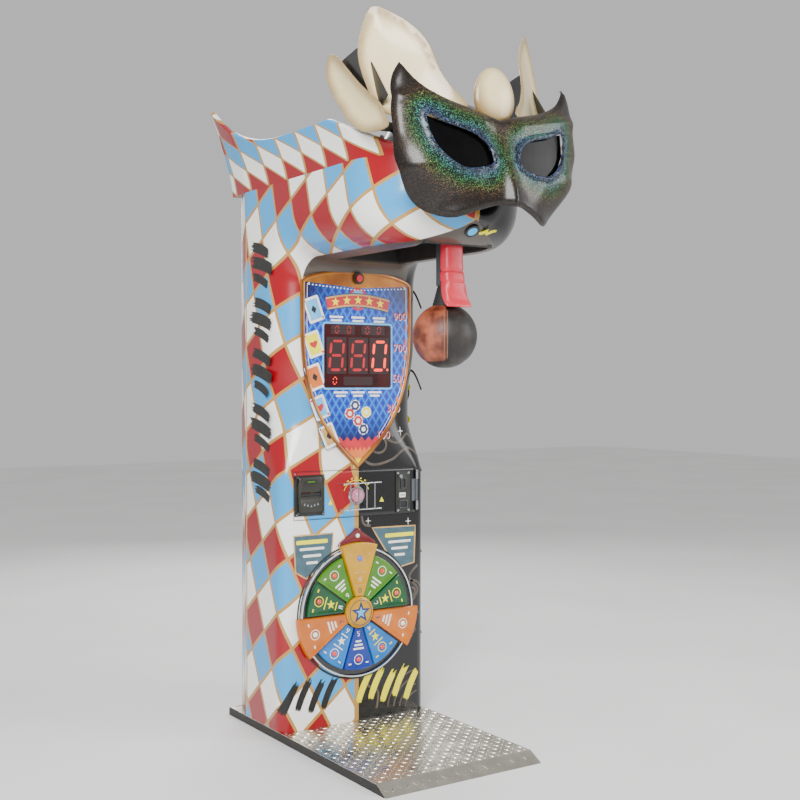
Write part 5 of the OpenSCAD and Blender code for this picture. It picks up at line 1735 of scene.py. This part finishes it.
        cut = bar / 2 + 0.8
        bars = [((-w / 2, h / 2), (w / 2, h / 2)), ((-w / 2, -h / 2), (w / 2, -h / 2)),
                ((-w / 2, 0), (-w / 2, h / 2)), ((w / 2, 0), (w / 2, h / 2)),
                ((-w / 2, 0), (-w / 2, -h / 2)), ((w / 2, 0), (w / 2, -h / 2))]
        if digit == "8":
            bars.append(((-w / 2, 0), (w / 2, 0)))
        for (u0, v0), (u1, v1) in bars:
            if abs(v1 - v0) < 1:
                outline = [(u0 + cut, v0), (u0 + cut + bar / 2, v0 - bar / 2), (u1 - cut - bar / 2, v0 - bar / 2),
                           (u1 - cut, v0), (u1 - cut - bar / 2, v0 + bar / 2), (u0 + cut + bar / 2, v0 + bar / 2)]
            else:
                a, b = min(v0, v1) + cut, max(v0, v1) - cut
                outline = [(u0, a), (u0 + bar / 2, a + bar / 2), (u0 + bar / 2, b - bar / 2), (u0, b),
                           (u0 - bar / 2, b - bar / 2), (u0 - bar / 2, a + bar / 2)]
            art.shape(outline, leaned, finish, 2.4, -1.9)

    def cards(self, art: Prints, place: Callable[[float, float, float], Point3]) -> None:
        """Five tilted playing cards with plain suit marks, and the score beside each step."""
        spots = ((-178, 1478, 20), (-178, 1358, 20), (-174, 1245, 20), (-154, 1140, 22), (-118, 1042, 24))
        for n, (cx, cz, turn) in enumerate(spots):
            c, s = math.cos(math.radians(turn)), math.sin(math.radians(turn))
            w, h = (62, 88) if n < 3 else (58, 82)

            def on_card(u: float, v: float, lift: float, at: tuple = (cx, cz, c, s)) -> Point3:
                """Point of the tilted card."""
                return place(at[0] + u * at[2] - v * at[3], at[1] + u * at[3] + v * at[2], lift)

            art.shape(rounded_box(0, 0, w + 3, h + 3, 7), on_card, INK["navy"], 0.8)
            art.shape(rounded_box(0, 0, w, h, 6), on_card, INK["white"], 1.1)
            art.shape(rounded_box(0, 0, w - 16, h - 18, 4), on_card, INK[("sky", "yellow", "orange", "sky", "gold")[n]],
                      1.3)
            ink = INK["red"] if n % 2 else INK["black"]
            for u, v, size in ((0, 0, 15), (-w / 2 + 6, h / 2 - 8, 5), (w / 2 - 6, 8 - h / 2, 5)):
                if n % 2:
                    heart = [(u + size * 1.0 * math.sin(t) ** 3,
                              v + size * (0.81 * math.cos(t) - 0.31 * math.cos(2 * t) - 0.13 * math.cos(3 * t)))
                             for t in (math.radians(18 * k) for k in range(20))]
                    art.shape(heart, on_card, ink, 1.6)
                else:
                    art.shape([(u, v + size), (u + size * 0.7, v), (u, v - size), (u - size * 0.7, v)], on_card,
                              ink, 1.6)
        for (x, z), text in zip(((177, 1464), (177, 1351), (172, 1242), (148, 1135), (108, 1040)),
                                ("900", "700", "500", "300", "100")):
            art.digits(text, (x + 2.0, z - 2.0), 27, place, INK["white"], lift=1.2)
            art.digits(text, (x, z), 27, place, INK["red"], lift=1.8)
        for k in range(8):
            t = (k + 0.5) / 8
            z = mix(1500, 1090, t)
            side = self.half_w * (1 - ((1500 - z) / 575) ** 3.2) - 22
            art.shape(rounded_box(side, z, 8, 22, 3), place, INK["orange"], 1.0)

    def emblem(self, art: Prints, place: Callable[[float, float, float], Point3]) -> None:
        """Gold head band, ribbon with stars, chips and the glowing tip."""
        band = [(x, z) for x, z in self.outline(self.rim - 1) if z > 1574]
        band.sort(key=lambda p: -p[0])
        dip = [(-208 + 416 * k / 12, 1572 - 14 * (1 - abs(k - 6) / 6)) for k in range(13)]
        art.shape(band + dip, place, METAL["gold"], 1.0)
        for k in range(29):
            x = -196 + 14 * k
            z = 1565 - 14 * (1 - abs(x) / 208)
            art.shape(rounded_box(x, z, 6, 4, 1.5), place, INK["white"], 1.2)
        ribbon = [(-128 + 256 * k / 12, 1500 + 16 * math.sin(math.pi * k / 12)) for k in range(13)]
        art.shape(arc(0, 1520, 40, 0, 345, 23), place, INK["red"], 1.0)
        art.shape(arc(0, 1520, 31, 0, 345, 23), place, INK["sky"], 1.2)
        art.band(ribbon, 50, place, INK["navy"], 1.4)
        art.band(ribbon, 43, place, INK["gold"], 1.7)
        art.band(ribbon, 31, place, INK["red"], 1.9)
        for k in range(5):
            x = -92 + 46 * k
            art.star((x, 1500 + 16 * math.sin(math.pi * (x + 128) / 256)), 17, place, INK["yellow"], lift=2.2)
        for x in (-88, 0, 88):
            for z, wide in ((1455, 54), (1443, 44), (1192, 56), (1180, 40)):
                art.shape(rounded_box(x * (1 if z > 1300 else 0.8), z, wide, 7, 2.5), place, INK["white"], 1.0)
        tips = [(x, z) for x, z in self.outline(self.rim + 1)]
        for level, finish, lift in ((1044, INK["red"], 0.6), (1008, INK["orange"], 0.8), (972, INK["yellow"], 1.0)):
            low = [(x, z) for x, z in tips if z < level]
            low.sort(key=lambda p: math.atan2(p[1] - level, p[0]))
            flames = [(mix(low[0][0], low[-1][0], (k + 1) / 12),
                       level - 8 - (16 if k % 2 else 0)) for k in range(11)] if low else []
            if low and low[0][0] > low[-1][0]:
                art.shape(low + flames[::-1], place, finish, lift)
            elif low:
                art.shape(low + flames[::-1], place, finish, lift)
        for x, z, ink in ((-34, 1118, "red"), (34, 1122, "yellow"), (0, 1092, "red"), (-12, 1146, "navy"),
                          (22, 1062, "navy")):
            art.shape(arc(x, z, 20, 0, 345, 23), place, INK["white"], 1.2)
            art.shape(arc(x, z, 16.5, 0, 345, 23), place, INK[ink], 1.5)
            art.shape(arc(x, z, 8.5, 0, 330, 11), place, INK["white"], 1.8)
            for k in range(6):
                a = math.radians(60 * k)
                art.shape(rounded_box(x + 18 * math.cos(a), z + 18 * math.sin(a), 4, 4, 1.5), place, INK[ink], 1.7)

    def build(self) -> None:
        """Builds the whole shield."""
        self.frame()
        self.panel()
        art = Prints("shield_art", CABINET, "shield_print")
        place = front_at(self.panel_y)
        self.display(art, place)
        self.cards(art, place)
        self.emblem(art, place)
        art.make()


# ---- coin door --------------------------------------------------------------

@dataclass
class CoinDoor:
    """Printed skin, note reader mouth, coin plate details and the lamp in its guard."""

    form: Moulding = field(default_factory=Moulding)
    width: float = 500.0
    height: float = 166.0
    middle_z: float = 836.0
    face_y: float = 122.0
    note: Point2 = (-191.0, 837.0)
    coin: Point2 = (196.0, 832.0)
    lamp_z: float = 828.0

    def skin(self) -> None:
        """Film on the door that carries the moulding's print across it."""
        made = Mesh("coin_door_film")
        across, up = 50, 16
        points = [(mix(-self.width / 2 + 0.8, self.width / 2 - 0.8, i / across), self.face_y - 0.5,
                   self.middle_z + mix(-self.height / 2 + 0.8, self.height / 2 - 0.8, j / up))
                  for j in range(up + 1) for i in range(across + 1)]
        row = across + 1
        faces = [(j * row + i, j * row + i + 1, (j + 1) * row + i + 1, (j + 1) * row + i)
                 for j in range(up) for i in range(across)]
        made.add(points, faces)
        piece = made.make(DOOR, [WORKSHOP.get(Material.BODY)], "door_print")
        if sum(p.normal.y for p in piece.data.polygons) > 0:
            piece.data.flip_normals()
        lattice = piece.data.uv_layers.new(name="lattice")
        depth = piece.data.uv_layers.new(name="depth")
        for loop in piece.data.loops:
            x, _, z = piece.data.vertices[loop.vertex_index].co / MM
            lattice.data[loop.index].uv = self.form.unroll((x, self.face_y, z))[0]
            depth.data[loop.index].uv = (1.0, 0.0)
        wall = piece.modifiers.new("film thickness", "SOLIDIFY")
        wall.thickness = 0.4 * MM
        wall.offset = -1.0

    def note_mouth(self, art: Prints) -> None:
        """Raised mouth of the note reader with its slot, lamps and screws."""
        x, z = self.note
        place = front_at(110.0)
        olive, black = ABS["olive"], ABS["black"]
        made = Mesh("note_mouth")
        levels = ((46, 62, 0.0, 9), (44, 60, 3.0, 9), (42, 56, 4.2, 8), (40, 30, 4.2, 7), (39.2, 17, 1.2, 5),
                  (38.5, 11, -2.0, 3.5))
        rings = []
        for w, h, lift, r in levels:
            rings.append([place(u, v, lift) for u, v in rounded_box(x, z + 4, 2 * w, 2 * h, r)])
        made.rings(rings, caps=False)
        made.make(DOOR, [olive.build()], "module_black", sharp=28)
        art.shape(rounded_box(x, z + 4, 74, 9, 2), place, black, 0.6)
        for k in range(-2, 3):
            tip = z - 34 + 3 * abs(k)
            art.shape([(x + 13 * k - 4, tip - 5), (x + 13 * k + 4, tip - 5), (x + 13 * k, tip + 4)], place,
                      INK["grey"], 4.9)
        for u, v in ((-50, -60), (50, -60), (-50, 64), (50, 64)):
            art.shape(arc(x + u, z + v, 4.4, 0, 330, 11), place, METAL["dark"], 1.6)
            art.shape(rounded_box(x + u, z + v, 6, 1.2, 0.4), place, black, 1.9)
        art.shape(rounded_box(x, z + 48, 46, 12, 3), place, black, 5.0)
        art.shape(rounded_box(x, z + 48, 30, 4, 1.5), place, LENS["light_green"], 5.4)

    def coin_details(self, art: Prints) -> None:
        """Coin slot frame, reject push, return cup and screws on the coin plate."""
        x, z = self.coin
        place = front_at(118.0)
        for w, h, finish, lift in ((54, 142, ABS["black"], 0.6), (50, 138, ABS["olive"], 1.1)):
            art.shape(rounded_box(x, z, w, h, 5), place, finish, lift)
        slot = Mesh("coin_slot_frame")
        for cz, w, h, deep in ((z + 31, 22, 40, 5.5), (z - 45, 36, 30, 4.5)):
            levels = ((w, h, 0.0), (w - 1.5, h - 1.5, deep), (w - 6, h - 6, deep), (w - 8, h - 8, 1.4))
            slot.rings([[place(u, v, lift) for u, v in rounded_box(x, cz, a, b, 3)] for a, b, lift in levels],
                       caps=False)
        slot.make(DOOR, [METAL["dark"].build()], "module_black", sharp=30)
        art.shape(rounded_box(x, z + 31, 5.2, 26, 1.5), place, ABS["black"], 1.7)
        art.shape(rounded_box(x, z - 45, 26, 20, 2), place, ABS["black"], 1.7)
        art.shape(rounded_box(x - 4, z - 12, 26, 17, 2), place, INK["white"], 1.9)
        art.shape(rounded_box(x - 4, z - 12, 20, 5, 1), place, INK["grey"], 2.1)
        for u, v in ((-21, -66), (21, -66), (-21, 66), (21, 66)):
            art.shape(arc(x + u, z + v, 3.4, 0, 330, 11), place, METAL["zinc"], 2.2)
            art.shape(rounded_box(x + u, z + v, 5, 1.1, 0.4), place, ABS["black"], 2.4)

    def lamp(self, art: Prints) -> None:
        """Ribbed pink lamp core in the dome, its collar, and the small marks round it."""
        made = Mesh("lamp_core")
        rings = []
        for k in range(21):
            t = k / 20
            r = 17.5 * math.sqrt(max(0.0, 1 - (t * 0.98) ** 3)) + 1.1 * math.cos(20 * math.pi * t)
            circle = [math.radians(12 * i) for i in range(30)]
            rings.append([(r * math.cos(a), self.face_y - 1.2 - 24 * t, self.lamp_z + r * math.sin(a))
                          for a in circle])
        made.rings(rings)
        made.make(DOOR, [LAMP["pink"].build()], "lamp", sharp=60)
        collar = Mesh("lamp_collar")
        profile = ((26.5, 0.0), (33, 0.0), (33, 3.0), (31, 5.0), (28, 5.0), (26.5, 3.6))
        rings = []
        for k in range(48):
            a = math.radians(7.5 * k)
            rings.append([(r * math.cos(a), self.face_y - 0.3 - d, self.lamp_z + r * math.sin(a))
                          for r, d in profile])
        collar.rings(rings + [rings[0]], caps=False)
        collar.make(DOOR, [METAL["chrome"].build()], "chrome_wire", sharp=30)
        place = front_at(self.face_y)
        art.band(arc(0, self.lamp_z, 54, 20, 160, 20), 2.2, place, INK["yellow"], 0.9)
        for k in range(7):
            a = math.radians(38 + 17.3 * k)
            cx, cz = 62 * math.cos(a), self.lamp_z + 62 * math.sin(a)
            art.shape(rounded_box(cx, cz, 7, 4.5, 1.5), place, INK["yellow"], 1.0)
        for cx in (-106, 106):
            art.shape([(cx - 9, 800), (cx + 9, 800), (cx, 818)], place, INK["yellow"], 1.0)

    def build(self) -> None:
        """Builds the door's skin and furniture."""
        self.skin()
        art = Prints("coin_door_details", DOOR, "module_black")
        self.note_mouth(art)
        self.coin_details(art)
        self.lamp(art)
        art.make()


# ---- prize wheel ------------------------------------------------------------

@dataclass
class PrizeWheel:
    """Ten lit lenses round a hub, with numbers, lamps, rim and pointer."""

    axis_z: float = 417.0
    plane_y: float = 121.7
    hub_r: float = 56.0
    lens_r: float = 206.0
    tongue_r: float = 246.0
    lamp_r: float = 168.0
    low_lift: float = 16.0
    raised_lift: float = 26.0
    sectors: tuple[tuple[str, str, str], ...] = (
        ("yellow", "blue", "gold"), ("light_green", "red", "white"), ("dark_green", "red", "yellow"),
        ("orange", "white", "white"), ("light_blue", "red", "yellow"), ("dark_blue", "red", "white"),
        ("light_blue", "red", "white"), ("orange", "white", "white"), ("dark_green", "red", "yellow"),
        ("light_green", "red", "white"))

    def polar(self, r: float, angle: float) -> Point2:
        """Point at a radius and a clock angle in degrees from the top, seen from the front."""
        a = math.radians(angle)
        return (r * math.sin(a), self.axis_z + r * math.cos(a))

    def sector_loop(self, centre: float, inner: float, outer: float, half: float, gap: float) -> list[Point2]:
        """Outline of a sector with an even gap to its neighbours."""
        steps = 12
        loop = []
        for r, order in ((outer, 1), (inner, -1)):
            reach = half - math.degrees(gap / r)
            turns = [centre + order * mix(-reach, reach, k / steps) for k in range(steps + 1)]
            loop += [self.polar(r, t) for t in turns]
        return loop

    def lens(self, index: int) -> None:
        """One lens: a moulded pan with rolled edges, raised for the four-colour points."""
        colour = self.sectors[index][0]
        raised = index in (0, 3, 7)
        centre = 36.0 * index
        made = Mesh(f"wheel_lens_{index}")
        place = front_at(self.plane_y)
        outer = self.tongue_r if raised else self.lens_r
        top = self.raised_lift if raised else self.low_lift
        steps = ((0.0, 4.2), (0.0, top - 3), (1.2, top - 1), (4.0, top), (7.0, top - 0.4), (12.0, top - 2.0))
        rings = []
        for inset, lift in steps:
            loop = self.sector_loop(centre, self.hub_r + 2 + inset, outer - inset, 18.0, 2.4 + inset)
            rings.append([place(u, v, lift) for u, v in loop])
        made.rings(rings)
        node = {0: "yellow_lens", 1: "green_lenses", 3: "orange_lenses", 4: "blue_lenses"}.get(index)
        slot = "lens_" + {"light_green": "green", "dark_green": "green", "light_blue": "blue",
                          "dark_blue": "blue"}.get(colour, colour)
        made.make(CABINET, [LENS[colour].build()], slot, [node] if node else [], 32)

    def details(self, index: int, art: Prints) -> None:
        """Number, bars and lamp of one sector."""
        _, _, ink = self.sectors[index]
        raised = index in (0, 3, 7)
        place = front_at(self.plane_y)
        top = (self.raised_lift if raised else self.low_lift) - 2.0
        centre = 36.0 * index
        c, s = math.cos(math.radians(-centre)), math.sin(math.radians(-centre))

        def local(u: float, v: float, lift: float) -> Point3:
            """Point of the sector, with v outward from the axis."""
            return place(u * c - v * s, self.axis_z + u * s + v * c, lift)

        tone = INK["navy"] if index in (0, 3, 7) else INK["white"]
        art.digits(str(index), (0, 76), 20, local, tone, lift=top + 0.5)
        lamp_v = self.lamp_r + (22 if raised else 0)
        art.band(arc(0, lamp_v, 17, 0, 348.75, 31), 2.6, local, INK[ink], top + 0.5, closed=True)
        if index % 2:
            for k in range(3):
                art.shape(rounded_box(0, 104 + 13 * k, 24 + 10 * k, 6.5, 2.5), local, INK[ink], top + 0.5)
        else:
            art.star((0, 118), 17, local, INK[ink], 5, 0.42, 90, top + 0.5)
            art.shape(rounded_box(0, 96, 30, 4, 1.5), local, INK[ink], top + 0.5)
            art.shape(rounded_box(0, 141, 44, 4, 1.5), local, INK[ink], top + 0.5)
        for side in (-1, 1):
            art.shape(rounded_box(side * (lamp_v * 0.21), lamp_v + 14, 12, 5, 2), local, INK[ink], top + 0.5)

    def lamps(self) -> None:
        """Small domed lamp caps, one for each sector and one on the pointer."""
        made = Mesh("wheel_lamp_caps")
        names = ("blue", "red", "white")
        spots = []
        for index, (_, lamp, _) in enumerate(self.sectors):
            raised = index in (0, 3, 7)
            u, v = self.polar(self.lamp_r + (22 if raised else 0), 36.0 * index)
            spots.append((u, v, self.raised_lift if raised else self.low_lift, names.index(lamp)))
        for u, v, lift, slot in spots:
            rings = []
            for k in range(8):
                a = math.radians(90 * k / 8)
                r = 9 * math.cos(a)
                rings.append([(u + r * math.cos(math.radians(15 * i)), self.plane_y - lift + 1.5 - 7 * math.sin(a),
                               v + r * math.sin(math.radians(15 * i))) for i in range(24)])
            made.rings(rings, slot=slot)
        made.make(CABINET, [LAMP[n].build() for n in names], "lamp", ["wheel_lamps"], 60)

    def hub(self, art: Prints) -> None:
        """Yellow hub cap with a rolled edge and a dark-blue star."""
        made = Mesh("wheel_hub_cap")
        rings = []
        for r, lift in ((55.5, 4.2), (55.5, 22), (54, 24), (50, 25), (48, 29), (45, 30), (20, 31)):
            rings.append([(r * math.cos(math.radians(7.5 * k)), self.plane_y - lift,
                           self.axis_z + r * math.sin(math.radians(7.5 * k))) for k in range(48)])
        made.rings(rings)
        made.make(CABINET, [LENS["yellow"].build()], "lens_yellow", ["wheel_hub"], 32)
        place = front_at(self.plane_y)
        art.star((0, self.axis_z), 40, place, INK["navy"], 5, 0.42, 90, 31.4)
        art.star((0, self.axis_z), 22, place, INK["sky"], 5, 0.42, 90, 31.8)
        art.band(arc(0, self.axis_z, 44, 0, 352.5, 47), 2, place, INK["navy"], 30.9, closed=True)

    def pointer(self, art: Prints) -> None:
        """Maroon pointer above the wheel with a white lamp."""
        made = Mesh("wheel_pointer")
        place = front_at(self.plane_y + 0.3)
        half, foot, apex = 78, 652, 714
        steps = ((0.0, 0.0), (0.0, 7.0), (1.5, 9.0), (5.0, 10.0), (8.0, 9.4))
        rings = []
        for inset, lift in steps:
            base = [(-half + 2.2 * inset, foot + inset), (-half + 6, foot + 12 - inset * 0.6), (-18, apex - 14),
                    (-8, apex - 2 - inset), (8, apex - 2 - inset), (18, apex - 14), (half - 6, foot + 12 - inset * 0.6),
                    (half - 2.2 * inset, foot + inset), (0, foot + 13 + inset)]
            rings.append([place(u * (1 - inset / 120), v, lift) for u, v in base])
        made.rings(rings)
        cap = [[place(8 * math.cos(math.radians(90 * k / 6)) * math.cos(math.radians(20 * i)),
                      686 + 8 * math.cos(math.radians(90 * k / 6)) * math.sin(math.radians(20 * i)),
                      9 + 6 * math.sin(math.radians(90 * k / 6))) for i in range(18)] for k in range(6)]
        made.rings(cap, slot=1)
        made.make(CABINET, [LENS["maroon"].build(), LAMP["white"].build()], "lens_orange", sharp=32)
        art.band(arc(0, self.axis_z, 236, 0, 356, 89), 6, front_at(122.0), INK["black"], 0.7, closed=True)

    def build(self) -> None:
        """Builds the wheel."""
        art = Prints("wheel_prints", CABINET, "lens_yellow")
        for index in range(len(self.sectors)):
            self.lens(index)
            self.details(index, art)
        self.lamps()
        self.hub(art)
        self.pointer(art)
        art.make()


# ---- platform ---------------------------------------------------------------

@dataclass
class Platform:
    """Bright tread plate bent over the board, with rolled lugs in crossing rows."""

    half_w: float = 298.0
    half_l: float = 533.0
    board_h: float = 26.0
    top: float = 29.0
    lip: float = 54.0
    lug_l: float = 30.0
    lug_w: float = 9.0
    lug_h: float = 1.8
    pitch: float = 27.0

    def build(self) -> None:
        """Builds the plate and its lugs."""
        made = Mesh("tread_plate_sheet")
        w, l0 = self.half_w, -self.half_l
        profile = [(self.half_l, self.board_h), (self.half_l, self.top - 0.6), (self.half_l - 0.6, self.top)]
        profile += [(l0 + self.lip + 3, self.top), (l0 + self.lip, self.top - 0.5), (l0 + self.lip - 3, self.top - 2),
                    (l0 + 1.2, 0.9), (l0, 0.0), (l0 + 7.5, 0.0), (l0 + self.lip + 1, self.board_h)]
        made.rings([[(x, y, z) for y, z in profile] for x in (-w, -w + 0.6, w - 0.6, w)])
        rows = int(2 * self.half_l / self.pitch)
        across = int(2 * w / self.pitch)
        for j in range(rows):
            y = l0 + self.lip + 14 + j * self.pitch
            if y > 116:
                break
            for i in range(across):
                x = -w + self.pitch * (i + 0.65)
                turn = math.radians(45 if (i + j) % 2 else -45)
                self.lug(made, x, y, self.top, turn)
        for i in range(across):
            x = -w + self.pitch * (i + 0.65)
            self.lug(made, x, l0 + 27, self.top * 27 / self.lip - 0.8, math.radians(45 if i % 2 else -45), True)
        made.make(CABINET, [WORKSHOP.get(Material.TREAD)], "tread", ["tread_plate"], 25)

    def lug(self, made: Mesh, x: float, y: float, z: float, turn: float, sloped: bool = False) -> None:
        """Adds one lens-shaped lug."""
        loops = []
        slope = self.top / self.lip if sloped else 0.0
        for scale, lift in ((1.0, -0.3), (0.86, 0.7 * self.lug_h), (0.55, self.lug_h)):
            loop = []
            for k in range(12):
                a = math.radians(30 * k)
                u = self.lug_l / 2 * scale * math.cos(a)
                v = self.lug_w / 2 * scale * math.sin(a) * (1 - 0.5 * abs(math.cos(a)))
                px = x + u * math.cos(turn) - v * math.sin(turn)
                py = y + u * math.sin(turn) + v * math.cos(turn)
                loop.append((px, py, z + lift + slope * (py - y)))
            loops.append(loop)
        made.rings(loops)


# ---- carried-over parts and studio ------------------------------------------

@dataclass
class CarriedParts:
    """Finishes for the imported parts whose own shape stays."""

    powder: Finish = Finish("steel_door_powder_black", "#222427", "#1a1b1e", 0.5, grain_mm=0.9, relief_mm=0.06)
    folded: Finish = Finish("aluminium_folded_sheet", "#a9aeb2", "#94999e", 0.35, 1.0, mottle_mm=25,
                            relief_mm=0.01)

    def dress(self) -> None:
        """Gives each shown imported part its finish."""
        groups = {
            "base_board": OTHER["board"], "column_frame": METAL["frame"], "arm_frame": METAL["frame"],
            "head_bracket": METAL["frame"], "arm_liner": OTHER["liner"], "rear_door": self.powder,
            "rear_hinges": METAL["zinc"], "rear_lock": METAL["zinc"], "eye_lenses": OTHER["eye"],
            "head_core": OTHER["core"], "pivot_shaft": METAL["ground"], "bearing_blocks": METAL["cast"],
            "swing_lever": METAL["frame"], "stop_buffers": OTHER["rubber"], "speed_disc": METAL["zinc"],
            "speed_sensor": OTHER["pcb"], "latch_cam": METAL["zinc"], "latch_hook": METAL["zinc"],
            "latch_bracket": METAL["zinc"], "latch_solenoid": METAL["copper"],
            "solenoid_plunger": METAL["ground"], "start_bezel": ABS["black"], "start_cap": ABS["blue"],
            "display_board": OTHER["pcb"], "reset_bezel": ABS["black"], "reset_cap": ABS["red"],
            "coin_door": METAL["box"], "door_hinge": METAL["zinc"], "note_bezel": ABS["olive"],
            "note_reader": ABS["black"], "coin_plate": ABS["olive"], "coin_selector": METAL["zinc"],
            "coin_return_button": METAL["chrome"], "door_screws": METAL["zinc"], "lamp_dome": OTHER["clear"],
            "lamp_guard": METAL["chrome"], "cash_box": METAL["box"], "wheel_tray": OTHER["tray"],
            "wheel_rim": METAL["chrome"], "control_board": OTHER["pcb"], "power_supply": self.folded,
            "mains_inlet": ABS["black"]}
        for name, finish in groups.items():
            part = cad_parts[name]
            part.data.materials.clear()
            part.data.materials.append(finish.build())
            log.info("%s: finish %s", name, finish.name)


@dataclass
class Studio:
    """Camera, pale floor and soft lamps."""

    eye: Point3 = (-2166.8, -3435.4, 1219.6)
    yaw: float = 33.47
    pitch: float = -0.753
    focal: float = 53.02

    def camera(self) -> None:
        """Adds the camera at the viewing angle."""
        data = bpy.data.cameras.new("camera")
        data.lens = self.focal
        data.sensor_width = 36.0
        data.clip_end = 60.0
        made = bpy.data.objects.new("camera", data)
        made.location = Vector(self.eye) * MM
        made.rotation_euler = (math.radians(90 + self.pitch), 0.0, math.radians(-self.yaw))
        bpy.context.scene.collection.objects.link(made)
        bpy.context.scene.camera = made

    def floor(self) -> None:
        """Adds the pale floor."""
        data = bpy.data.meshes.new("floor")
        size = 14.0
        data.from_pydata([(-size, -size, 0), (size, -size, 0), (size, size, 0), (-size, size, 0)], [],
                         [(0, 1, 2, 3)])
        made = bpy.data.objects.new("floor", data)
        bpy.context.scene.collection.objects.link(made)
        finish = Finish("studio_floor_matt_paper", "#f2f2f1", "#ececeb", 0.8, mottle_mm=900, grain_mm=40)
        data.materials.append(finish.build())

    def lamp(self, name: str, place: Point3, aim: Point3, size: float, watts: float) -> None:
        """Adds one soft area lamp.

        Args:
            name: Name of the lamp.
            place: Where it hangs, in metres.
            aim: Where it points, in metres.
            size: Width of the lamp in metres.
            watts: Power.
        """
        data = bpy.data.lights.new(name, "AREA")
        data.shape = "RECTANGLE"
        data.size, data.size_y = size, size * 1.4
        data.energy = watts
        made = bpy.data.objects.new(name, data)
        made.location = place
        made.rotation_euler = (Vector(aim) - Vector(place)).to_track_quat("-Z", "Y").to_euler()
        bpy.context.scene.collection.objects.link(made)

    def build(self) -> None:
        """Builds camera, floor, lamps and a white surround."""
        self.camera()
        self.floor()
        self.lamp("key", (-3.0, -3.4, 3.4), (0, 0, 1.2), 1.8, 340)
        self.lamp("fill", (3.4, -3.0, 2.4), (0, 0, 1.1), 2.0, 110)
        self.lamp("back", (1.5, 3.6, 3.2), (0, 0, 1.3), 2.2, 110)
        world = bpy.data.worlds.new("studio")
        bpy.context.scene.world = world
        world.use_nodes = True
        ground = world.node_tree.nodes["Background"]
        ground.inputs["Color"].default_value = (1.0, 1.0, 1.0, 1.0)
        ground.inputs["Strength"].default_value = 0.6


def main() -> None:
    """Builds the machine and its studio."""
    logging.basicConfig(level=logging.INFO, format="%(message)s")
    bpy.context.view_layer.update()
    Studio().build()
    builders = (Platform(), Cabinet(), Crown(), Head(), StrikeUnit(), FrontPrints(), ScoreShield(), CoinDoor(),
                PrizeWheel())
    for builder in builders:
        builder.build()
        log.info("built %s", type(builder).__name__)
    CarriedParts().dress()


if __name__ == "__main__":
    main()
